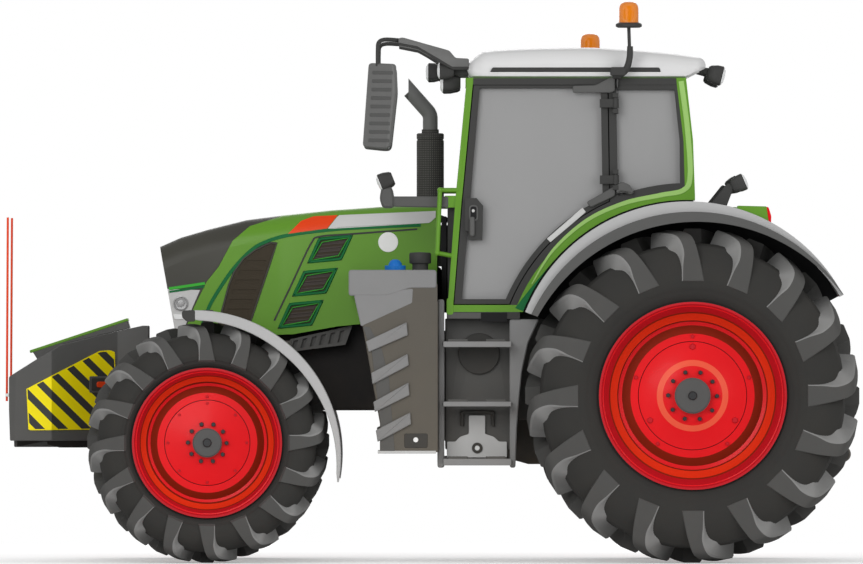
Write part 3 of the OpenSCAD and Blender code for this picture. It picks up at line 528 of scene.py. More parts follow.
def dense(ring: Array, parts: int = 5) -> Array:
    """Splits each edge of a closed outline into equal parts."""
    return np.linspace(ring, np.roll(ring, -1, 0), parts + 1)[:-1].swapaxes(0, 1).reshape(-1, 2)


def smooth_path(points: Sequence[Sequence[float]], count: int) -> Array:
    """Carries one smooth curve through the points.

    Each span is a Catmull-Rom cubic of its two ends and their neighbours, with the end points doubled.

    Args:
        points: The points to pass, in any number of dimensions.
        count: Number of points on the curve.

    Returns:
        The curve, one row per point.
    """
    given = np.array(points, float)
    padded = np.concatenate([given[:1], given, given[-1:]])
    place = np.linspace(0, len(given) - 1, count)
    span = np.minimum(place.astype(int), len(given) - 2)
    t = (place - span)[:, None]
    a, b, c, d = (padded[span + k] for k in range(4))
    return 0.5 * (2 * b + (c - a) * t + (2 * a - 5 * b + 4 * c - d) * t**2 + (3 * b - a - 3 * c + d) * t**3)


def unit(vectors: Array) -> Array:
    """Scales vectors to length 1 along their last axis."""
    return vectors / np.linalg.norm(vectors, axis=-1, keepdims=True)


def tube(path: Array, radius: float | Array, sides: int = 12, up: Sequence[float] = (0, 1, 0)) -> Array:
    """Carries a circle along a path.

    Args:
        path: Points of the path.
        radius: One radius, or one per point.
        sides: Points round the circle.
        up: A direction that the path never takes.

    Returns:
        A grid of rings.
    """
    along = unit(np.gradient(path, axis=0))
    across = unit(np.cross(along, np.array(up, float)))
    rise = np.cross(across, along)
    angle = np.linspace(0, math.tau, sides, endpoint=False)
    reach = np.broadcast_to(np.asarray(radius, float).reshape(-1, 1, 1), (len(path), 1, 1))
    ring = np.cos(angle)[:, None] * across[:, None] + np.sin(angle)[:, None] * rise[:, None]
    return path[:, None] + reach * ring


def spun(profile: Array, axis: str, centre: Sequence[float], steps: int = 96) -> Array:
    """Turns a profile of radius and height about an axis through a centre.

    Args:
        profile: Rows of radius and place along the axis.
        axis: "Y" for a wheel, "Z" for an upright piece.
        centre: A point on the axis.
        steps: Points round the axis.

    Returns:
        A grid of rings, one per profile row.
    """
    angle = np.linspace(0, math.tau, steps, endpoint=False)[None]
    r, along = profile[:, :1], profile[:, 1:2]
    level = np.broadcast_to(along, (len(profile), steps))
    first, second = r * np.sin(angle), r * np.cos(angle)
    order = (first, level, second) if axis == "Y" else (first, second, level)
    return np.stack(order, -1) + np.array(centre, float)


def pillow(centre: Sequence[float], half: Sequence[float], power: float = 0.35, steps: int = 28) -> Array:
    """A rounded block: a ball whose sines and cosines are raised to a power, which squares it.

    Args:
        centre: Its middle.
        half: Half its size along X, Y and Z.
        power: 1 is an ellipsoid, and less is squarer.
        steps: Points round it.

    Returns:
        A grid of rings from pole to pole.
    """

    def squared(values: Array) -> Array:
        """Raises values to the power and keeps their signs."""
        return np.sign(values) * np.abs(values) ** power

    lat = np.linspace(-math.pi / 2, math.pi / 2, steps // 2 + 1)[:, None]
    lon = np.linspace(0, math.tau, steps, endpoint=False)[None]
    flat = squared(np.cos(lat))
    x, y = flat * squared(np.cos(lon)), flat * squared(np.sin(lon))
    z = np.broadcast_to(squared(np.sin(lat)), x.shape)
    return np.array(centre) + np.stack([x, y, z], -1) * np.array(half)


def turned(points: Array, pivot: Sequence[float], axis: str, degrees: float) -> Array:
    """Turns points about an axis through a pivot.

    Args:
        points: The points, XYZ last.
        pivot: A point on the axis.
        axis: "X", "Y" or "Z".
        degrees: The angle.

    Returns:
        The turned points.
    """
    a = math.radians(degrees)
    c, s = math.cos(a), math.sin(a)
    table = {
        "X": [[1, 0, 0], [0, c, -s], [0, s, c]],
        "Y": [[c, 0, s], [0, 1, 0], [-s, 0, c]],
        "Z": [[c, -s, 0], [s, c, 0], [0, 0, 1]],
    }
    return (points - np.array(pivot)) @ np.array(table[axis]).T + np.array(pivot)


class Draft:
    """Gathers surface patches and makes one mesh object from them."""

    def __init__(self, name: str, *looks: Look) -> None:
        """Starts an empty draft.

        Args:
            name: The piece's name.
            looks: Its finishes, one for each material slot. Where none is named, the first is used.
        """
        self.name = name
        self.looks = looks
        self.points: list[Array] = []
        self.faces: list[list[int]] = []
        self.slots: list[int] = []
        self.count = 0

    def slot(self, look: Look | None) -> int:
        """The material slot of a finish, the first where it is None."""
        return 0 if look is None else self.looks.index(look)

    def patch(
        self,
        grid: Array,
        look: Look | None = None,
        wrap_u: bool = False,
        wrap_v: bool = True,
        caps: bool = True,
        bands: Sequence[Look] = (),
    ) -> Draft:
        """Adds one grid or a stack of equal grids as quads.

        Args:
            grid: Points with the axes rows, columns, XYZ, or the same with a first axis of copies.
            look: The finish.
            wrap_u: True if the last row joins the first.
            wrap_v: True if the last column joins the first.
            caps: True to close the first and last row with a face each.
            bands: A finish for each column of quads, in place of look.

        Returns:
            The draft itself.
        """
        stack = grid if grid.ndim == 4 else grid[None]
        copies, rows, columns, _ = stack.shape
        index = np.arange(rows * columns).reshape(rows, columns)
        down = np.roll(index, -1, 0)
        right = np.roll(index, -1, 1)
        both = np.roll(down, -1, 1)
        quads = np.stack([index, right, both, down], -1)
        quads = quads[: rows if wrap_u else rows - 1, : columns if wrap_v else columns - 1]
        slot = self.slot(look)
        used = np.broadcast_to([self.slot(band) for band in bands] or slot, quads.shape[:2])
        starts = self.count + np.arange(copies) * rows * columns
        self.faces += (quads.reshape(1, -1, 4) + starts[:, None, None]).reshape(-1, 4).tolist()
        self.slots += np.tile(used.reshape(-1), copies).tolist()
        if caps and not wrap_u:
            self.faces += (index[0][::-1] + starts[:, None]).tolist()
            self.faces += (index[-1] + starts[:, None]).tolist()
            self.slots += [slot] * (2 * copies)
        self.points.append(stack.reshape(-1, 3))
        self.count += copies * rows * columns
        return self

    def plate(
        self,
        outline: Array,
        low: float,
        high: float,
        place: Lay,
        edge: float,
        look: Look | None = None,
    ) -> None:
        """Adds a flat plate with softened edges: the outline's rim profile carried round it.

        Args:
            outline: Closed outline in two coordinates.
            low: Depth of its back.
            high: Depth of its face.
            place: Turns arrays of first coordinate, depth and second coordinate into points.
            edge: Width of the softened edge.
            look: The finish.
        """
        small = inset(outline, edge)
        rims = ((small, low), (outline, low + edge), (outline, high - edge), (small, high))
        rows = [place(ring[:, 0], np.full(len(ring), depth), ring[:, 1]) for ring, depth in rims]
        self.patch(np.stack(rows), look)

    def sheet(self, outline: Outline, lay: Lay, look: Look | None = None, high: float = 0.004) -> None:
        """Lays a thin plate on a curved face as a fine grid between its upper and lower edge.

        Args:
            outline: Its corners in X and Z; each X meets the outline twice.
            lay: Puts X, depth and Z on the face.
            look: The finish.
            high: Depth of its outer side.
        """
        thick, columns, rows = 0.01, 48, 9
        margin, least = 1e-4, 1e-6
        corners = np.array(outline)
        xs = np.linspace(corners[:, 0].min() + margin, corners[:, 0].max() - margin, columns)
        ends = np.roll(corners, -1, 0)
        span = ends[:, 0] - corners[:, 0]
        t = (xs[:, None] - corners[:, 0]) / np.where(np.abs(span) < least, least, span)
        hit = corners[:, 1] + (ends[:, 1] - corners[:, 1]) * t
        inside = (t >= 0) & (t <= 1)
        top = np.where(inside, hit, -np.inf).max(1)
        low = np.where(inside, hit, np.inf).min(1)
        z = low[:, None] + (top - low)[:, None] * np.linspace(0, 1, rows)
        x = np.broadcast_to(xs[:, None], z.shape)
        face = lay(x, np.full(z.shape, high), z)
        back = lay(x, np.full(z.shape, high - thick), z)[:, ::-1]
        self.patch(np.concatenate([face, back], 1), look)

    def strip(
        self,
        points: Outline | Array,
        width: float | Sequence[float],
        lay: Lay,
        look: Look,
        high: float,
        low: float = -0.006,
        flat: float = 0.38,
    ) -> None:
        """Lays a strip with a flat face and sloping sides along a smooth line.

        Args:
            points: The line in X and Z.
            width: The strip's width, or one for each point.
            lay: Puts X, depth and Z on the face below.
            look: The finish.
            high: Depth of its outer side.
            low: Depth of its back.
            flat: Half the width of the flat face, as a share of the strip's width.
        """
        widths = np.broadcast_to(width, len(points))
        line = smooth_path(np.column_stack([points, widths]), 12 * len(points))
        along = unit(np.gradient(line[:, :2], axis=0))
        normal = np.stack([-along[:, 1], along[:, 0]], 1)
        share = np.array([-0.5, -flat, flat, 0.5])
        spots = line[:, None, :2] + normal[:, None] * share[:, None] * line[:, None, 2:]
        level = np.broadcast_to(np.array([low, high, high, low]), spots.shape[:2])
        self.patch(lay(spots[..., 0], level, spots[..., 1]), look)

    def build(self, body: str, replaces: Sequence[str] = (), sharp: float = 35.0) -> bpy.types.Object:
        """Makes the object, gives it its finishes and sets it on its body.

        Args:
            body: The body that it rides on.
            replaces: Solids that it stands for.
            sharp: Edges that bend more than this, in degrees, stay sharp.

        Returns:
            The finished object.
        """
        mesh = bpy.data.meshes.new(self.name)
        mesh.from_pydata(np.concatenate(self.points).tolist(), [], self.faces)
        mesh.polygons.foreach_set("material_index", self.slots)
        clean(mesh)
        made = bpy.data.objects.new(self.name, mesh)
        return settle(made, body, self.looks, replaces, sharp)


def clean(mesh: bpy.types.Mesh, flat: bool = False) -> None:
    """Merges doubles, drops faces with no area and turns the faces outward.

    Args:
        mesh: The mesh to work on.
        flat: True to join the triangles of flat faces as well.
    """
    merge, least, bend = 1e-5, 1e-6, math.radians(0.5)
    work = bmesh.new()
    work.from_mesh(mesh)
    bmesh.ops.remove_doubles(work, verts=work.verts, dist=merge)
    bmesh.ops.dissolve_degenerate(work, dist=least, edges=work.edges)
    if flat:
        bmesh.ops.dissolve_limit(work, angle_limit=bend, verts=work.verts, edges=work.edges)
    bmesh.ops.recalc_face_normals(work, faces=work.faces)
    work.to_mesh(mesh)
    work.free()


def settle(
    made: bpy.types.Object,
    body: str,
    looks: Sequence[Look],
    replaces: Sequence[str],
    sharp: float,
    bevel: float = 0.0,
) -> bpy.types.Object:
    """Links an object, gives it its finishes, shading and bevel, and sets it on its body.

    Args:
        made: The object.
        body: The body that it rides on.
        looks: The finishes, by slot.
        replaces: Solids that it stands for.
        sharp: Edges that bend more than this, in degrees, stay sharp.
        bevel: Width of a bevel on its edges, or 0.

    Returns:
        The object.
    """
    bpy.context.scene.collection.objects.link(made)
    for look in looks:
        made.data.materials.append(material_of(look))
    made.data.shade_smooth()
    made.data.set_sharp_from_angle(angle=math.radians(sharp))
    if bevel:
        soft = made.modifiers.new("Soft edges", "BEVEL")
        soft.width = bevel
        soft.segments = 2
        soft.limit_method = "ANGLE"
        soft.angle_limit = math.radians(32)
        soft.harden_normals = True
    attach(made, body)
    if replaces:
        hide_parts(*replaces)
    LOG.info("%s rides on %s, %d faces", made.name, body, len(made.data.polygons))
    return made


class Solids:
    """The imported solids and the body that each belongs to."""

    def __init__(self) -> None:
        """Loads the frame and keeps its box."""
        self.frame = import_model()
        self.first_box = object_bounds()
        groups = self.frame["record"]["behaviour"]["bodies"]
        self.body = {node: body for body, nodes in groups.items() for node in nodes}

    def dress(self, node: str, look: Look, bevel: float = 0.004, sharp: float = 35.0) -> bpy.types.Object:
        """Shows a solid as a merged copy with softened edges.

        Args:
            node: The solid.
            look: Its finish.
            bevel: Width of the softened edges, or 0.
            sharp: Edges that bend more than this, in degrees, stay sharp.

        Returns:
            The copy, which replaces the solid.
        """
        made = bpy.data.objects.new(f"{node}_skin", self.frame["nodes"][node].data.copy())
        made.data.materials.clear()
        clean(made.data, flat=True)
        return settle(made, self.body[node], [look], [node], sharp, bevel)


def across(side: Side) -> Lay:
    """Puts a side view's X, outward Y and Z on one side of the tractor."""
    return lambda x, y, z: np.stack([x, y * side.value, z], -1)


def laid(side: Side, reach: Callable[[Array, Array], Array], spread: float = 1.0) -> Lay:
    """Puts side view places at a depth, times spread, on a face whose distance from the middle is reach."""
    return lambda x, depth, z: np.stack([x, (reach(x, z) + depth * spread) * side.value, z], -1)


# Wheels


@dataclass(frozen=True)
class WheelSizes:
    """Sizes of one axle's wheels.

    Rings are the radii that part the rim's rings of red paint, painted shade and painted highlight, from the
    flange inward. Bolts are rows of circle, head and number, and light is the outer and inner radius of the
    disc's ring of painted highlight, if it has one.
    """

    axle: str
    centre: tuple[float, float, float]
    radius: float
    width: float
    rim_radius: float
    rim_half: float
    rings: tuple[float, ...]
    disc_y: float
    bore: float
    drum: float
    seam: float
    hub: float
    hub_y: float
    studs: float
    bolts: tuple[tuple[float, float, int], ...]
    light: tuple[float, float] | None


FRONT = WheelSizes(
    axle="front",
    centre=(1.284, 0.95, 0.69),
    radius=0.69,
    width=0.54,
    rim_radius=0.43,
    rim_half=0.215,
    rings=(0.386, 0.381, 0.351, 0.342, 0.326, 0.287),
    disc_y=0.07,
    bore=0.0603,
    drum=0.15,
    seam=0.245,
    hub=0.084,
    hub_y=0.13,
    studs=0.111,
    bolts=((0.226, 0.009, 8), (0.264, 0.009, 1)),
    light=None,
)
REAR = WheelSizes(
    axle="rear",
    centre=(-1.499, 0.945, 0.96),
    radius=0.96,
    width=0.65,
    rim_radius=0.538,
    rim_half=0.262,
    rings=(0.48, 0.472, 0.432, 0.425, 0.404, 0.356),
    disc_y=0.08,
    bore=0.0703,
    drum=0.19,
    seam=0.311,
    hub=0.103,
    hub_y=0.15,
    studs=0.14,
    bolts=((0.34, 0.012, 5), (0.281, 0.019, 3)),
    light=(0.205, 0.171),
)
RIM_LOOKS = (
    *(Look.RIM_EDGE, Look.RIM_ORANGE, Look.RIM_RED, Look.RIM_WELL, Look.RIM_DISC),
    *(Look.RIM_LIGHT, Look.RIM_LINE, Look.HUB, Look.NUT),
)


@dataclass(frozen=True)
class Wheel:
    """One wheel: a lugged tyre and a painted rim.

    Lug share is the bars' height as a share of the tyre's radius, and lug side is how far they stand out from
    the sidewall.
    """

    sizes: WheelSizes
    side: Side
    lug_share: float = 0.088
    lug_side: float = 0.014
    lugs: int = 16
    stud_count: int = 10
    stud_size: float = 0.0135
    stud_first: float = 0.3

    @property
    def body(self) -> str:
        """The body that the wheel rides on."""
        return f"{self.sizes.axle}_wheel_{self.side.word}"

    @property
    def crown(self) -> float:
        """Radius of the casing between the bars."""
        return self.sizes.radius * (1 - self.lug_share)

    def put(self, grid: Array) -> Array:
        """Moves a grid drawn about the origin, outboard along +Y, to the wheel's place."""
        return (grid + np.array(self.sizes.centre)) * self.side.flip

    def casing(self) -> Array:
        """The casing: a closed half section turned about the axle.

        The sidewall's half width swells as a parabola from the bead to 45% of its height and falls off by a
        power of 2.5 towards the shoulder, with two low ribs above the bead.

        Returns:
            A grid of rings.
        """
        s = self.sizes
        crown = self.crown
        wide = s.width - 2 * self.lug_side
        bead = s.rim_half - 0.023
        foot = s.rim_radius + 0.004
        t = np.linspace(0, 1, 25)
        swell = wide / 2 - (wide / 2 - bead) * np.clip(1 - t / 0.45, 0, 1) ** 2
        swell -= 0.09 * wide * np.clip((t - 0.45) / 0.55, 0, 1) ** 2.5
        swell += 0.004 * np.exp(-(((t - 0.12) / 0.02) ** 2)) + 0.003 * np.exp(-(((t - 0.26) / 0.02) ** 2))
        wall = np.stack([foot + (crown - 0.016 - foot) * t, swell], 1)
        top = np.array([[crown - 0.004, 0.36 * wide], [crown, 0.2 * wide]])
        seat = np.array([[s.rim_radius - 0.0255, bead]])
        half = np.concatenate([seat, wall, top])
        return spun(np.concatenate([half, half[::-1] * np.array([1, -1])]), "Y", (0, 0, 0), 128)

    def tread(self, outer: bool) -> Array:
        """The cross bars of one half of the tread.

        A bar starts low on the sidewall, climbs over the shoulder and swings forward to the middle. Its
        stations give turn, half width, inner radius and place, outer radius and place, and how far the front
        flank's foot spreads. A smooth curve passes them, and a six-cornered section with sloping flanks is
        carried along it.

        Args:
            outer: True for the outboard half.

        Returns:
            A stack of grids, one for each bar.
        """
        s = self.sizes
        r, w = s.radius, s.width
        c, h = w / 2 - self.lug_side, w / 2
        stations = [
            (0.0, 0.066 * r, 0.672 * r, c - 0.03, 0.69 * r, c + 0.003, 0.04),
            (0.009, 0.056 * r, 0.77 * r, c - 0.04, 0.78 * r, h - 0.003, 0.35),
            (0.017, 0.043 * r, 0.84 * r, c - 0.05, 0.868 * r, h - 0.003, 1.3),
            (0.052, 0.045 * r, 0.88 * r, 0.38 * w, 0.952 * r, 0.45 * w, 1.6),
            (0.12, 0.05 * r, 0.885 * r, 0.2 * w, 0.985 * r, 0.24 * w, 1.1),
            (0.195, 0.05 * r, 0.89 * r, 0.012, r, 0.012, 0.6),
        ]
        line = smooth_path(stations, 26)[None, :, :, None]
        turn, half, in_r, in_y, out_r, out_y, spread = (line[:, :, k] for k in range(7))
        share = np.array([-1.1, -1.0, -0.92, 0.92, 1.0, 1.0]) + spread * np.array([0, 0, 0, 0, 0.2, 1.0])
        depth = np.array([0.0, 0.88, 1.0, 1.0, 0.9, 0.0])
        radius = in_r + (out_r - in_r) * depth
        place = np.minimum(in_y + (out_y - in_y) * depth, h)
        first = np.arange(self.lugs) * math.tau / self.lugs
        if not outer:
            first = first + math.pi / self.lugs
        angle = first[:, None, None] + turn + share * half / radius
        place = np.broadcast_to(place if outer else -place, angle.shape)
        return np.stack([radius * np.sin(angle), place, radius * np.cos(angle)], -1)

    def tyre(self) -> None:
        """Builds the tyre, casing and bars in one piece, the casing darker as painted shade and one flank of
        each bar lighter as painted highlight.
        """
        node = f"{self.sizes.axle}_tyre_{self.side.word}"
        draft = Draft(f"{node}_tread", Look.CASING, Look.LUG, Look.FLANK)
        draft.patch(self.put(self.casing()), wrap_u=True)
        # The fourth and fifth quads round a bar's section are its flank, lightened as painted highlight.
        bands = (Look.LUG, Look.LUG, Look.LUG, Look.FLANK, Look.FLANK, Look.LUG)
        for outer in (True, False):
            draft.patch(self.put(self.tread(outer)), Look.LUG, bands=bands)
        draft.build(self.body, (node,), sharp=28)

    def rim_steps(self) -> list[tuple[float, float, Look]]:
        """The rim's half section from the hub's middle over the face to the back.

        Returns:
            Rows of radius, place along the axle and the finish of the band that ends there.
        """
        s = self.sizes
        # The crimson flange, the orange ring, the brown well rings and the disc's pale ring are painted shade
        # and painted highlight on the one red paint.
        edge, orange, red, well, disc, light, line, hub, _ = RIM_LOOKS
        a, b, c, d, e, f = s.rings
        y, half, top = s.disc_y, s.rim_half, s.rim_radius
        rise = half - y
        groove = 0.002
        face = [(0.0, s.hub_y, hub), (s.hub * 0.9, s.hub_y, hub)]
        face += [(s.hub, s.hub_y - 0.006, hub), (s.hub, y + 0.026, hub)]
        if s.light:
            face += [(s.light[1], y + 0.022, disc), (s.light[0], y + 0.006, light)]
        face += [(s.seam - groove, y + 0.002, disc), (s.seam - groove, y - 0.006, line)]
        face += [(s.seam + groove, y - 0.006, line), (s.seam + groove, y + 0.002, line)]
        face += [(f, y, disc), (e, y - 0.03, well), (d, y - 0.024, red)]
        face += [(c, y + 0.05 * rise, well), (b, y + 0.27 * rise, orange), (a, y + 0.34 * rise, well)]
        face += [(top - 0.016, half - 0.006, edge), (top - 0.012, half, edge)]
        face += [(top, half, edge), (top, half - 0.014, edge)]
        seat, trough = top - 0.026, top - 0.04
        back = [(seat, half - 0.022), (seat, 0.022 - half), (top, 0.014 - half)]
        back += [(top, -half), (trough, -half), (trough, y - 0.084), (f + 0.008, y - 0.05)]
        back += [(s.drum, y - 0.05), (s.drum, -0.15), (s.bore, -0.15), (s.bore, -0.03), (0.0, -0.03)]
        return face + [(r, p, red) for r, p in back]

    def nuts(self, ring: float, size: float, count: int, base: float, tall: float, first: float) -> Array:
        """Six-sided heads with a chamfered top on a circle about the axle.

        Args:
            ring: Radius of the circle.
            size: Radius of a head.
            count: How many.
            base: Where they start along the axle.
            tall: Their height.
            first: Angle of the first.

        Returns:
            A stack of grids at the wheel's place, one for each head.
        """
        spot = (first + np.arange(count) * math.tau / count)[:, None, None]
        corner = np.arange(6)[None, None] * math.tau / 6
        reach = np.array([1.0, 1.0, 0.78])[None, :, None] * size
        level = np.array([base, base + tall * 0.8, base + tall])[None, :, None]
        x = ring * np.sin(spot) + reach * np.sin(corner)
        z = ring * np.cos(spot) + reach * np.cos(corner)
        return self.put(np.stack([x, np.broadcast_to(level, x.shape), z], -1))

    def rim(self) -> None:
        """Builds the rim: every band of its section turned in its own colour, with nuts and bolts. Its
        crimson, orange, brown and pale bands are painted shade and painted highlight on the red paint, and
        the bolts take the crimson painted shade.
        """
        s = self.sizes
        node = f"{s.axle}_rim_{self.side.word}"
        draft = Draft(f"{node}_painted", *RIM_LOOKS)
        steps = self.rim_steps()
        section = spun(np.array([(r, y) for r, y, _ in steps]), "Y", (0, 0, 0), 112)
        bands = [look for _, _, look in steps[1:]]
        draft.patch(self.put(section).transpose(1, 0, 2), wrap_u=True, wrap_v=False, bands=bands)
        foot, tall = s.disc_y + 0.018, 0.028
        studs = self.nuts(s.studs, self.stud_size, self.stud_count, foot, tall, self.stud_first)
        draft.patch(studs, Look.NUT)
        foot, tall = s.disc_y - 0.008, 0.02
        # The bolts take the first slot, the crimson painted shade of the flange.
        for ring, size, count in s.bolts:
            draft.patch(self.nuts(ring, size, count, foot, tall, 0.0))
        cap = np.array([(0.0, 0.012), (0.02, 0.012), (0.024, 0.008), (0.027, -0.004)])
        draft.patch(self.put(spun(cap, "Y", (0, s.hub_y, 0), 24)), Look.NUT)
        draft.build(self.body, (node,), sharp=24)


def build_wheels() -> None:
    """Builds the four wheels."""
    for sizes in (FRONT, REAR):
        for side in Side:
            wheel = Wheel(sizes, side)
            wheel.tyre()
            wheel.rim()


# Bonnet


@dataclass(frozen=True)
class Bonnet:
    """The bonnet's skin as a formula, and the trim that lies on it.

    Tops and lows are drawn over the length scale, and halves over shares of it. Camber is the rise of the top
    from the rounded corner to the middle.
    """

    rear_x: float = -0.034
    nose_x: float = 1.566
    chin_x: float = 1.479
    scale: float = 1.6
    corner: float = 0.11
    camber: float = 0.02
    tops: Outline = (
        (0, 2.06), (0.27, 2.049), (0.615, 2.026), (0.885, 1.997),
        (1.1, 1.97), (1.32, 1.915), (1.48, 1.868), (1.6, 1.815),
    )
    lows: Outline = ((0, 1.405), (0.488, 1.376), (0.96, 1.297), (1.448, 1.319), (1.6, 1.33))
    halves: Outline = ((0, 0.43), (0.5, 0.375), (1, 0.33))
    louvre_spots: Outline = ((0.649, 1.868), (0.737, 1.676), (0.819, 1.491))
    louvre_top: tuple[float, float] = (-0.201, 0.019)
    louvre_fall: tuple[float, float] = (0.068, -0.150)
    lamp: tuple[float, float] = (1.445, 1.488)

    def half_width(self, x: Array, z: Array) -> Array:
        """The skin's half width at places in the side view.

        The station s along the bonnet is found by repeating s = (x - rear) / length at that height. Below the
        corner the skin is upright at the station's half width; above, it follows the rounded corner's circle,
        whose height is r sin(a) + camber sin(a) squared.

        Args:
            x: Places along.
            z: Heights.

        Returns:
            Distance of the skin from the middle plane.
        """
        tops, lows, halves = (np.array(v).T for v in (self.tops, self.lows, self.halves))
        rounds = 8
        s = (x - self.rear_x) / (self.nose_x - self.rear_x)
        for _ in range(rounds):
            top = np.interp(s * self.scale, *tops)
            low = np.interp(s * self.scale, *lows)
            share = np.clip((z - low) / (top - low), 0, 1)
            s = (x - self.rear_x) / (self.chin_x - self.rear_x + (self.nose_x - self.chin_x) * share)
        top = np.interp(s * self.scale, *tops)
        r = self.corner
        rise = (z - top + r + self.camber).clip(0)
        sine = ((np.sqrt(r * r + 4 * self.camber * rise) - r) / (2 * self.camber)).clip(0, 0.98)
        return np.interp(s, *halves) - r + r * np.sqrt(1 - sine**2)

    def on_skin(self, side: Side) -> Lay:
        """Lays side view places at a depth above the skin."""
        return laid(side, self.half_width)

    @staticmethod
    def lip(draft: Draft, ring: Array, width: float, lay: Lay, look: Look, high: float) -> None:
        """Lays a closed raised lip along a ring of places on the skin.

        Args:
            draft: Takes the lip.
            ring: Closed outline in X and Z.
            width: The lip's width.
            lay: Puts X, depth and Z on the skin.
            look: Its finish.
            high: Height of its crest above the skin.
        """
        back = -0.004
        offsets = (-0.5, -0.2, 0.2, 0.5)
        depths = (back, high, high, back)
        rows = [inset(ring, width * o) for o in offsets]
        grid = np.stack([lay(r[:, 0], np.full(len(r), d), r[:, 1]) for r, d in zip(rows, depths)], 1)
        draft.patch(grid, look, wrap_u=True)

    def trims(self, side: Side) -> None:
        """Lays the strips, flash, plate and edge lines on one side.

        Args:
            side: The tractor's side.
        """
        looks = (Look.STRIP, Look.FLASH, Look.DEEP_GREEN, Look.TRIM, Look.BRIGHT_GREEN, Look.WHITE)
        draft = Draft(f"bonnet_trim_{side.word}", *looks)
        lay = self.on_skin(side)
        strip = [(0.5958, 1.9204), (0.5349, 1.998), (-0.026, 2.022), (-0.026, 1.985), (0.008, 1.953)]
        draft.sheet([*strip, (0.5567, 1.9204)], lay)
        flash = [(0.825, 1.8905), (0.75, 1.9652), (0.678, 1.9917), (0.5389, 1.998), (0.601, 1.9204)]
        draft.sheet(flash, lay, Look.FLASH)
        ridge = [(0.06, 1.941), (0.3, 1.931), (0.557, 1.916), (0.823, 1.882), (0.968, 1.838), (1.05, 1.785)]
        ridge += [(1.1416, 1.6877), (1.22, 1.575), (1.2783, 1.4752), (1.318, 1.37)]
        draft.strip(ridge, 0.024, lay, Look.DEEP_GREEN, 0.004)
        pin = [(0.905, 1.39), (0.80, 1.61), (0.694, 1.832), (0.642, 1.874), (0.472, 1.888), (0.08, 1.917)]
        draft.strip(pin, 0.012, lay, Look.TRIM, 0.003)
        brow = [(1.513, 1.5735), (1.43, 1.585), (1.305, 1.604)]
        draft.strip(brow, 0.02, lay, Look.BRIGHT_GREEN, 0.005)
        under = [(1.511, 1.555), (1.43, 1.5665), (1.31, 1.586)]
        draft.strip(under, 0.014, lay, Look.DEEP_GREEN, 0.004)
        draft.plate(circle(0.2477, 1.8417, 0.0575, 40), -0.006, 0.004, lay, 0.002, Look.WHITE)
        draft.build("hood")

    def louvres(self, side: Side) -> None:
        """Frames the three side louvres with a deep and a bright green lip, and nets them and the big grille.

        Args:
            side: The tractor's side.
        """
        looks = (Look.DEEP_GREEN, Look.BRIGHT_GREEN, Look.BROWN, Look.NOSE, Look.NET)
        draft = Draft(f"bonnet_louvres_{side.word}", *looks)
        lay = self.on_skin(side)
        sunk = -0.004
        top, fall = np.array(self.louvre_top), np.array(self.louvre_fall)
        for spot in self.louvre_spots:
            corner = np.array(spot)
            frame = np.stack([corner, corner + fall, corner + fall + top, corner + top])
            rim = inset(rounded(dense(frame), 0.02), 0.009)
            self.lip(draft, rim, 0.024, lay, Look.DEEP_GREEN, 0.009)
            self.lip(draft, dense(inset(frame, 0.033)), 0.007, lay, Look.BRIGHT_GREEN, 0.010)
            draft.sheet(inset(frame, 0.022), lay, Look.NET, sunk)
            for v in np.linspace(0.3, 0.72, 4):
                line = [tuple(corner + u * top + v * fall) for u in (0.18, 0.5, 0.82)]
                draft.strip(line, 0.010, lay, Look.NET, 0.003)
        grille = [(1.236, 1.336), (1.058, 1.336), (0.891, 1.836), (0.926, 1.838), (0.951, 1.829)]
        grille += [(1.017, 1.796), (1.083, 1.746), (1.138, 1.669), (1.167, 1.595)]
        draft.sheet(grille, lay, Look.BROWN, sunk)
        self.lip(draft, dense(np.array(grille)), 0.016, lay, Look.NOSE, 0.006)
        draft.build("hood")

    def lamps(self, side: Side) -> None:
        """Sets a round reflector with rings and a bar lamp in the headlamp's pane.

        Args:
            side: The tractor's side.
        """
        draft = Draft(f"headlamp_lens_{side.word}", Look.REFLECTOR, Look.LENS)
        place = self.on_skin(side)
        count = 32
        rows = ((0.044, 0.0), (0.044, 0.006), (0.037, 0.008), (0.034, 0.002))
        rows += ((0.022, 0.001), (0.02, 0.006), (0.0, 0.008))
        rings = [(circle(*self.lamp, r, count).T, np.full(count, d)) for r, d in rows]
        draft.patch(np.stack([place(x, depth, z) for (x, z), depth in rings]))
        bar = rounded([(1.49, 1.425), (1.38, 1.425), (1.385, 1.40), (1.48, 1.395)], 0.01)
        draft.plate(bar, -0.004, 0.006, place, 0.002, Look.LENS)
        draft.build("hood")

    def build(self, solids: Solids) -> None:
        """Dresses the bonnet's solids and lays its trim.

        Args:
            solids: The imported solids.
        """
        shells = (("hood_shell", Look.GREEN, 0.0025), ("hood_nose", Look.NOSE, 0.003))
        insets = (("hood_grilles", Look.BROWN, 0.002), ("headlamps", Look.HEADLAMP, 0.002))
        for node, look, bevel in shells + insets:
            solids.dress(node, look, bevel, sharp=30)
        for side in Side:
            self.trims(side)
            self.louvres(side)
            self.lamps(side)


# Cab


